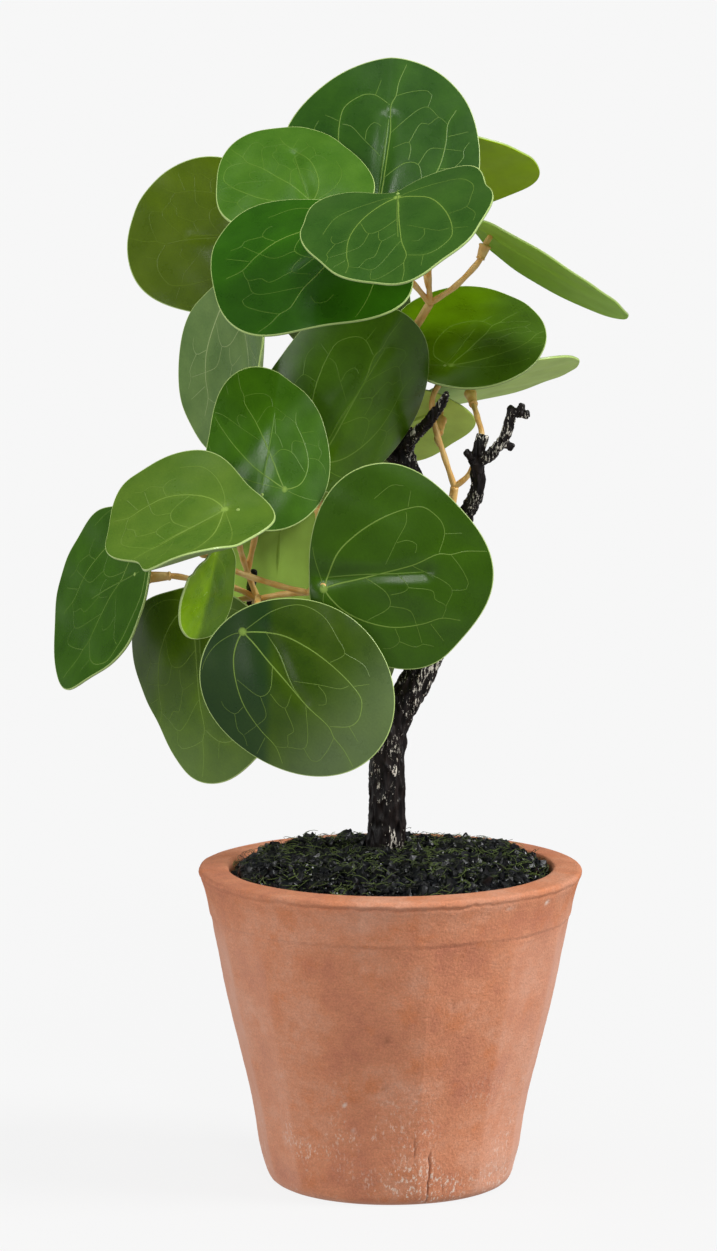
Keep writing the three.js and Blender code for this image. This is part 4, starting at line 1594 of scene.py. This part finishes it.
    def build(self) -> None:
        """Turns the pot and dresses it."""
        outline = spline(self.profile, self.step)
        crown = int(np.argmax(outline[:, 1]))
        number = np.arange(len(outline))
        fine = (number < crown + 6) & (outline[:, 1] > self.fine_above)
        outline = outline[(number % 3 == 0) | fine]
        turns = self.turns()
        angle = np.radians(turns - 90)
        count = len(turns)
        crown = int(np.argmax(outline[:, 1]))
        rows, chalk, grime = [], [], []
        for number, (radius, height) in enumerate(outline):
            ring = np.stack([radius * np.cos(angle), radius * np.sin(angle), np.full(count, height)], -1)
            outside = number < crown
            push = np.array([self.stand(Vector(point), turn, outside) for point, turn in zip(ring, turns)])
            rows.append(ring * (1 + push / radius)[:, None] * (1, 1, 0) + ring * (0, 0, 1))
            seen = [self.marks(turn, height) if outside else (0.0, 0.0) for turn in turns]
            chalk += [mark[0] for mark in seen]
            grime += [mark[1] for mark in seen]
        last = len(rows) * count
        faces = grid_faces(len(rows), count, True)
        faces += [(last, (i + 1) % count, i) for i in range(count)]
        top = last - count
        faces += [(last + 1, top + i, top + (i + 1) % count) for i in range(count)]
        draft = MeshDraft()
        draft.add(np.vstack([*rows, [[0, 0, 0]], [[0, 0, 8]]]), faces,
                  chalk=np.array([*chalk, 0.0, 0.0]), grime=np.array([*grime, 0.0, 0.0]))
        declare(draft.build("clay_pot", [FiredClay().make()]), "terracotta", "pot")


@dataclass
class Soil:
    """The dark filling, with fine grains, lumps and moss fibres on it.

    Its sides are told by their radius and height, from the pot's floor up.
    """

    crown: float = 107.6
    edge: float = 97.5
    radius: float = 51.9
    sides: Route = ((31.5, 8.6), (34, 10.4), (37.2, 24), (43.4, 55), (49.3, 82))
    grains: int = 7400
    grain_sizes: tuple[float, float] = (0.7, 1.9)
    lumps: int = 1000
    lump_sizes: tuple[float, float] = (2.0, 4.2)
    fibres: int = 1900
    fibre_sizes: tuple[float, float] = (2.4, 5.5)
    fibre_radius: float = 0.075
    # Raised clumps near the back edge: their x and y, and how high they stand.
    clumps: tuple[tuple[float, float, float], ...] = (
        (-44.5, 12, 1.8), (-31.5, 31, 2.6), (-22, 36, 1.6), (-13.9, 38, 2.4), (5.5, 38, 1.4),
        (16.2, 38, 2.4), (29, 32, 2.8), (39.8, 22, 2.6), (46, 6, 1.6),
    )

    def height(self, x: float, y: float) -> float:
        """Finds the height of the filling at a place.

        Args:
            x: How far it is to the right of the pot's middle.
            y: How far behind it.

        Returns:
            The height.
        """
        share = min(1.0, math.hypot(x, y) / self.radius)
        rough = (2.6 * noise.noise(Vector((x * 0.13, y * 0.13, 0)))
                 + 1.3 * noise.noise(Vector((x * 0.34, y * 0.34, 3)))
                 + 0.6 * noise.noise(Vector((x * 0.8, y * 0.8, 7))))
        rough += sum(up * math.exp(-((x - across) ** 2 + (y - back) ** 2) / 11)
                     for across, back, up in self.clumps)
        behind = max(0.0, y / (math.hypot(x, y) + 1e-9))
        fallen = (self.crown - self.edge) * share ** (6 - 3.4 * behind)
        return self.crown - fallen - 1.6 * behind * share ** 6 + rough * (1 - share ** 9)

    def ring(self, radius: float, angle: Array) -> Array:
        """Returns points of the filling's top on a round of that radius."""
        x, y = radius * np.cos(angle), radius * np.sin(angle)
        return np.stack([x, y, [self.height(*place) for place in zip(x, y)]], -1)

    def mound(self) -> bpy.types.Object:
        """Makes the filling itself, down to the pot's floor.

        Returns:
            Its piece.
        """
        columns, rings = 200, 66
        angle = np.linspace(0, 2 * math.pi, columns, endpoint=False)
        rows = []
        for radius, height in self.sides:
            rows.append(np.stack([radius * np.cos(angle), radius * np.sin(angle),
                                  np.full(columns, height)], -1))
        for share in np.linspace(1, 1 / rings, rings):
            rows.append(self.ring(share * self.radius * 0.985, angle))
        last = len(rows) * columns
        faces = grid_faces(len(rows), columns, True)
        faces += [(last, (i + 1) % columns, i) for i in range(columns)]
        faces += [(last + 1, last - columns + i, last - columns + (i + 1) % columns) for i in range(columns)]
        draft = MeshDraft()
        draft.add(np.vstack([*rows, [[0, 0, self.sides[0][1]]], [[0, 0, self.height(0, 0)]]]), faces)
        return draft.build("soil_filling", [Granule("packed_dark_filler").make()])

    def cover(self) -> bpy.types.Object:
        """Makes the patch of ground that grains and fibres are strewn on.

        Returns:
            A plain object of its shape.
        """
        columns, rings = 90, 30
        angle = np.linspace(0, 2 * math.pi, columns, endpoint=False)
        rows = []
        for share in np.linspace(1, 0.13, rings):
            rows.append(self.ring(share * (self.radius - 1.5), angle))
        draft = MeshDraft()
        draft.add(np.vstack(rows), grid_faces(rings, columns, True))
        return draft.build("ground", [])

    def scatter_tree(
        self, name: str
    ) -> tuple[bpy.types.NodeTree, bpy.types.Node, bpy.types.Node, bpy.types.Node]:
        """Starts a tree that strews points on its geometry.

        Args:
            name: The tree's name.

        Returns:
            The tree, its input node, its node of strewn points and the one that draws their sizes.
        """
        tree = bpy.data.node_groups.new(name, "GeometryNodeTree")
        tree.interface.new_socket("Geometry", in_out="OUTPUT", socket_type="NodeSocketGeometry")
        tree.interface.new_socket("Ground", in_out="INPUT", socket_type="NodeSocketGeometry")
        for label, kind in (("Density", "NodeSocketFloat"), ("Smallest", "NodeSocketFloat"),
                            ("Largest", "NodeSocketFloat"), ("Seed", "NodeSocketInt"),
                            ("Finish", "NodeSocketMaterial")):
            tree.interface.new_socket(label, in_out="INPUT", socket_type=kind)
        given = add_node(tree, "NodeGroupInput")
        strewn = add_node(
            tree, "GeometryNodeDistributePointsOnFaces", {},
            {"Mesh": given.outputs["Ground"], "Density": given.outputs["Density"],
             "Seed": given.outputs["Seed"]})
        size = add_node(
            tree, "FunctionNodeRandomValue", {"data_type": "FLOAT"},
            {2: given.outputs["Smallest"], 3: given.outputs["Largest"], "Seed": given.outputs["Seed"]})
        return tree, given, strewn, size

    def finish_tree(self, tree: bpy.types.NodeTree, given: bpy.types.Node, shape: Socket) -> None:
        """Sets the finish of a tree's geometry and makes that its output.

        Args:
            tree: The tree.
            given: Its input node.
            shape: Its geometry, in real meshes.
        """
        dressed = add_node(
            tree, "GeometryNodeSetMaterial", {}, {0: shape, "Material": given.outputs["Finish"]})
        add_node(tree, "NodeGroupOutput", {}, {0: dressed.outputs[0]})

    def run(
        self, tree: bpy.types.NodeTree, name: str, values: dict[str, float | bpy.types.Material]
    ) -> bpy.types.Object:
        """Runs a tree on the ground and keeps the result as a plain mesh.

        Args:
            tree: The finished tree.
            name: The new piece's name.
            values: What its named inputs are set to.

        Returns:
            The piece.
        """
        piece = self.cover()
        piece.name = name
        strew = piece.modifiers.new("strew", "NODES")
        strew.node_group = tree
        named = {item.name: item.identifier for item in tree.interface.items_tree if item.in_out == "INPUT"}
        for key, value in values.items():
            strew[named[key]] = value
        plain_mesh(piece)
        return piece

    def stone_cover(self, name: str, count: int, sizes: tuple[float, float], fine: bool) -> bpy.types.Object:
        """Strews broken stones.

        Args:
            name: The piece's name.
            count: How many there are.
            sizes: The smallest and the largest, across.
            fine: Whether they are the fine, sharp grains and not the worn lumps.

        Returns:
            The piece.
        """
        tree, given, strewn, size = self.scatter_tree(name)
        if fine:
            stone = add_node(tree, "GeometryNodeMeshIcoSphere", {"Radius": 0.5, "Subdivisions": 1})
        else:
            stone = add_node(tree, "GeometryNodeMeshUVSphere", {"Segments": 6, "Rings": 4, "Radius": 0.5})
        turn = add_node(
            tree, "FunctionNodeRandomValue", {"data_type": "FLOAT_VECTOR", 1: (6.28, 6.28, 6.28)})
        stones = add_node(
            tree, "GeometryNodeInstanceOnPoints", {},
            {"Points": strewn.outputs["Points"], "Instance": stone.outputs["Mesh"],
             "Rotation": turn.outputs[0], "Scale": size.outputs[1]})
        real = add_node(tree, "GeometryNodeRealizeInstances", {}, {0: stones.outputs[0]})
        rough = add_node(
            tree, "ShaderNodeTexNoise", {"Scale": 1 / (sizes[1] * MM), "Detail": 1.0})
        centred = add_node(
            tree, "ShaderNodeVectorMath", {"operation": "SUBTRACT", 1: (0.5, 0.5, 0.5)},
            {0: rough.outputs["Color"]})
        push = add_node(
            tree, "ShaderNodeVectorMath", {"operation": "SCALE", "Scale": 1.1 * sizes[1] * MM},
            {0: centred.outputs[0]})
        worn = add_node(tree, "GeometryNodeSetPosition", {}, {0: real.outputs[0], "Offset": push.outputs[0]})
        self.finish_tree(tree, given, worn.outputs[0])
        finish = Granule(f"{name}_filler", roughness=0.22 if fine else 0.32).make()
        return self.run(tree, name, {
            "Density": count / (math.pi * (self.radius * MM) ** 2), "Smallest": sizes[0] * MM,
            "Largest": sizes[1] * MM, "Seed": 4 if fine else 11, "Finish": finish})

    def fibre_cover(self) -> bpy.types.Object:
        """Strews the curved moss fibres.

        Returns:
            The piece.
        """
        tree, given, strewn, size = self.scatter_tree("strewn_fibres")
        bend = add_node(
            tree, "GeometryNodeCurveArc", {"mode": "RADIUS", "Resolution": 6, "Radius": 0.6,
                                           "Sweep Angle": 2.4})
        turn = add_node(
            tree, "FunctionNodeRandomValue",
            {"data_type": "FLOAT_VECTOR", 0: (-0.7, -0.7, 0.0), 1: (0.7, 0.7, 6.28)})
        strands = add_node(
            tree, "GeometryNodeInstanceOnPoints", {},
            {"Points": strewn.outputs["Points"], "Instance": bend.outputs["Curve"],
             "Rotation": turn.outputs[0], "Scale": size.outputs[1]})
        real = add_node(tree, "GeometryNodeRealizeInstances", {}, {0: strands.outputs[0]})
        lifted = add_node(
            tree, "GeometryNodeSetPosition", {"Offset": (0.0, 0.0, 0.9 * MM)}, {0: real.outputs[0]})
        section = add_node(
            tree, "GeometryNodeCurvePrimitiveCircle", {"Resolution": 4, "Radius": self.fibre_radius * MM})
        solid = add_node(
            tree, "GeometryNodeCurveToMesh", {"Fill Caps": True},
            {"Curve": lifted.outputs[0], "Profile Curve": section.outputs[0]})
        self.finish_tree(tree, given, solid.outputs[0])
        return self.run(tree, "moss_fibres", {
            "Density": self.fibres / (math.pi * (self.radius * MM) ** 2),
            "Smallest": self.fibre_sizes[0] * MM, "Largest": self.fibre_sizes[1] * MM,
            "Seed": 9, "Finish": MossFibre().make()})

    def build(self) -> None:
        """Makes the filling, the grains, the lumps and the fibres."""
        declare(self.mound(), "soil", "soil")
        declare(self.stone_cover("loose_grains", self.grains, self.grain_sizes, True), "soil")
        declare(self.stone_cover("loose_lumps", self.lumps, self.lump_sizes, False), "soil")
        declare(self.fibre_cover(), "soil")


# ------------------------------------------------------------------ studio


@dataclass(frozen=True)
class Lamp:
    """A distant soft light: degrees right of the camera, degrees up, degrees wide and strength."""

    name: str
    turn: float
    rise: float
    spread: float
    strength: float


@dataclass
class Studio:
    """The pale floor, the soft lights and the camera, whose places are in metres."""

    camera_at: tuple[float, float, float] = (-0.010, -1.680, 0.415)
    camera_aim: tuple[float, float, float] = (-0.0102, 0.0, 0.180)
    lens: float = 153.3
    floor_radius: float = 80000.0
    floor_seen: float = 0.861
    floor_bounce: float = 0.39
    surround: float = 0.1
    backdrop: float = 0.93
    lamps: tuple[Lamp, ...] = (
        Lamp("key_right", 74, 36, 24, 2.8), Lamp("fill_left", -80, 20, 40, 1.2), Lamp("top", 10, 80, 30, 0.6),
        Lamp("front_high", 8, 38, 10, 0.5), Lamp("front_left", -24, 10, 11, 0.34),
    )

    def floor(self) -> None:
        """Lays a wide pale floor, lit a little from within so that its shadows stay soft."""
        angle = np.linspace(0, 2 * math.pi, 48, endpoint=False)
        rim = self.floor_radius * np.stack([np.cos(angle), np.sin(angle), np.zeros(48)], -1)
        draft = MeshDraft()
        draft.add(rim, [tuple(range(48))])
        paper = Pattern("pale_floor_paper", {
            "Base Color": linear("#484848"), "Roughness": 1.0, "Specular IOR Level": 0.0,
            "Emission Color": linear("#ffffff")})
        seen = paper.add("ShaderNodeLightPath").outputs["Is Camera Ray"]
        glow = paper.span(seen, to_low=self.floor_bounce, to_high=self.floor_seen)
        paper.feed("Emission Strength", glow)
        draft.build("floor", [paper.material])

    def light(self, lamp: Lamp) -> None:
        """Hangs one of the lights.

        Args:
            lamp: The light.
        """
        sun = bpy.data.lights.new(lamp.name, "SUN")
        sun.angle = math.radians(lamp.spread)
        sun.energy = lamp.strength
        stand = bpy.data.objects.new(lamp.name, sun)
        turn, rise = math.radians(lamp.turn), math.radians(lamp.rise)
        away = Vector((math.sin(turn) * math.cos(rise), -math.cos(turn) * math.cos(rise), math.sin(rise)))
        stand.location = away
        stand.rotation_euler = (-away).to_track_quat("-Z", "Y").to_euler()
        bpy.context.scene.collection.objects.link(stand)

    def surroundings(self) -> None:
        """Sets a bright backdrop that the object sees only dimly."""
        world = bpy.data.worlds.new("studio")
        world.use_nodes = True
        tree = world.node_tree
        dim = tree.nodes["Background"]
        dim.inputs["Color"].default_value = linear("#ffffff")
        dim.inputs["Strength"].default_value = self.surround
        ray = add_node(tree, "ShaderNodeLightPath")
        seen = add_node(tree, "ShaderNodeBackground", {"Strength": self.backdrop})
        mixed = add_node(
            tree, "ShaderNodeMixShader", {},
            {0: ray.outputs["Is Camera Ray"], 1: dim.outputs[0], 2: seen.outputs[0]})
        tree.links.new(mixed.outputs[0], tree.nodes["World Output"].inputs["Surface"])
        bpy.context.scene.world = world

    def camera(self) -> None:
        """Stands the camera where the photograph was taken from."""
        view = bpy.data.cameras.new("photo_view")
        view.sensor_fit = "VERTICAL"
        view.sensor_height = 36.0
        view.lens = self.lens
        camera = bpy.data.objects.new("photo_view", view)
        camera.location = self.camera_at
        aim = Vector(self.camera_aim) - Vector(self.camera_at)
        camera.rotation_euler = aim.to_track_quat("-Z", "Y").to_euler()
        bpy.context.scene.collection.objects.link(camera)
        bpy.context.scene.camera = camera

    def build(self) -> None:
        """Sets up the floor, the lights, the surroundings and the camera."""
        self.floor()
        for lamp in self.lamps:
            self.light(lamp)
        self.surroundings()
        self.camera()
        bpy.context.scene.view_settings.view_transform = "Standard"


def main() -> None:
    """Builds the studio and then the plant, from the pot up."""
    logging.basicConfig(level=logging.INFO, format="%(name)s: %(message)s")
    Studio().build()
    Pot().build()
    Soil().build()
    Trunk().build()
    foliage = Foliage()
    Sprays(foliage).build()
    foliage.build()


if __name__ == "__main__":
    main()
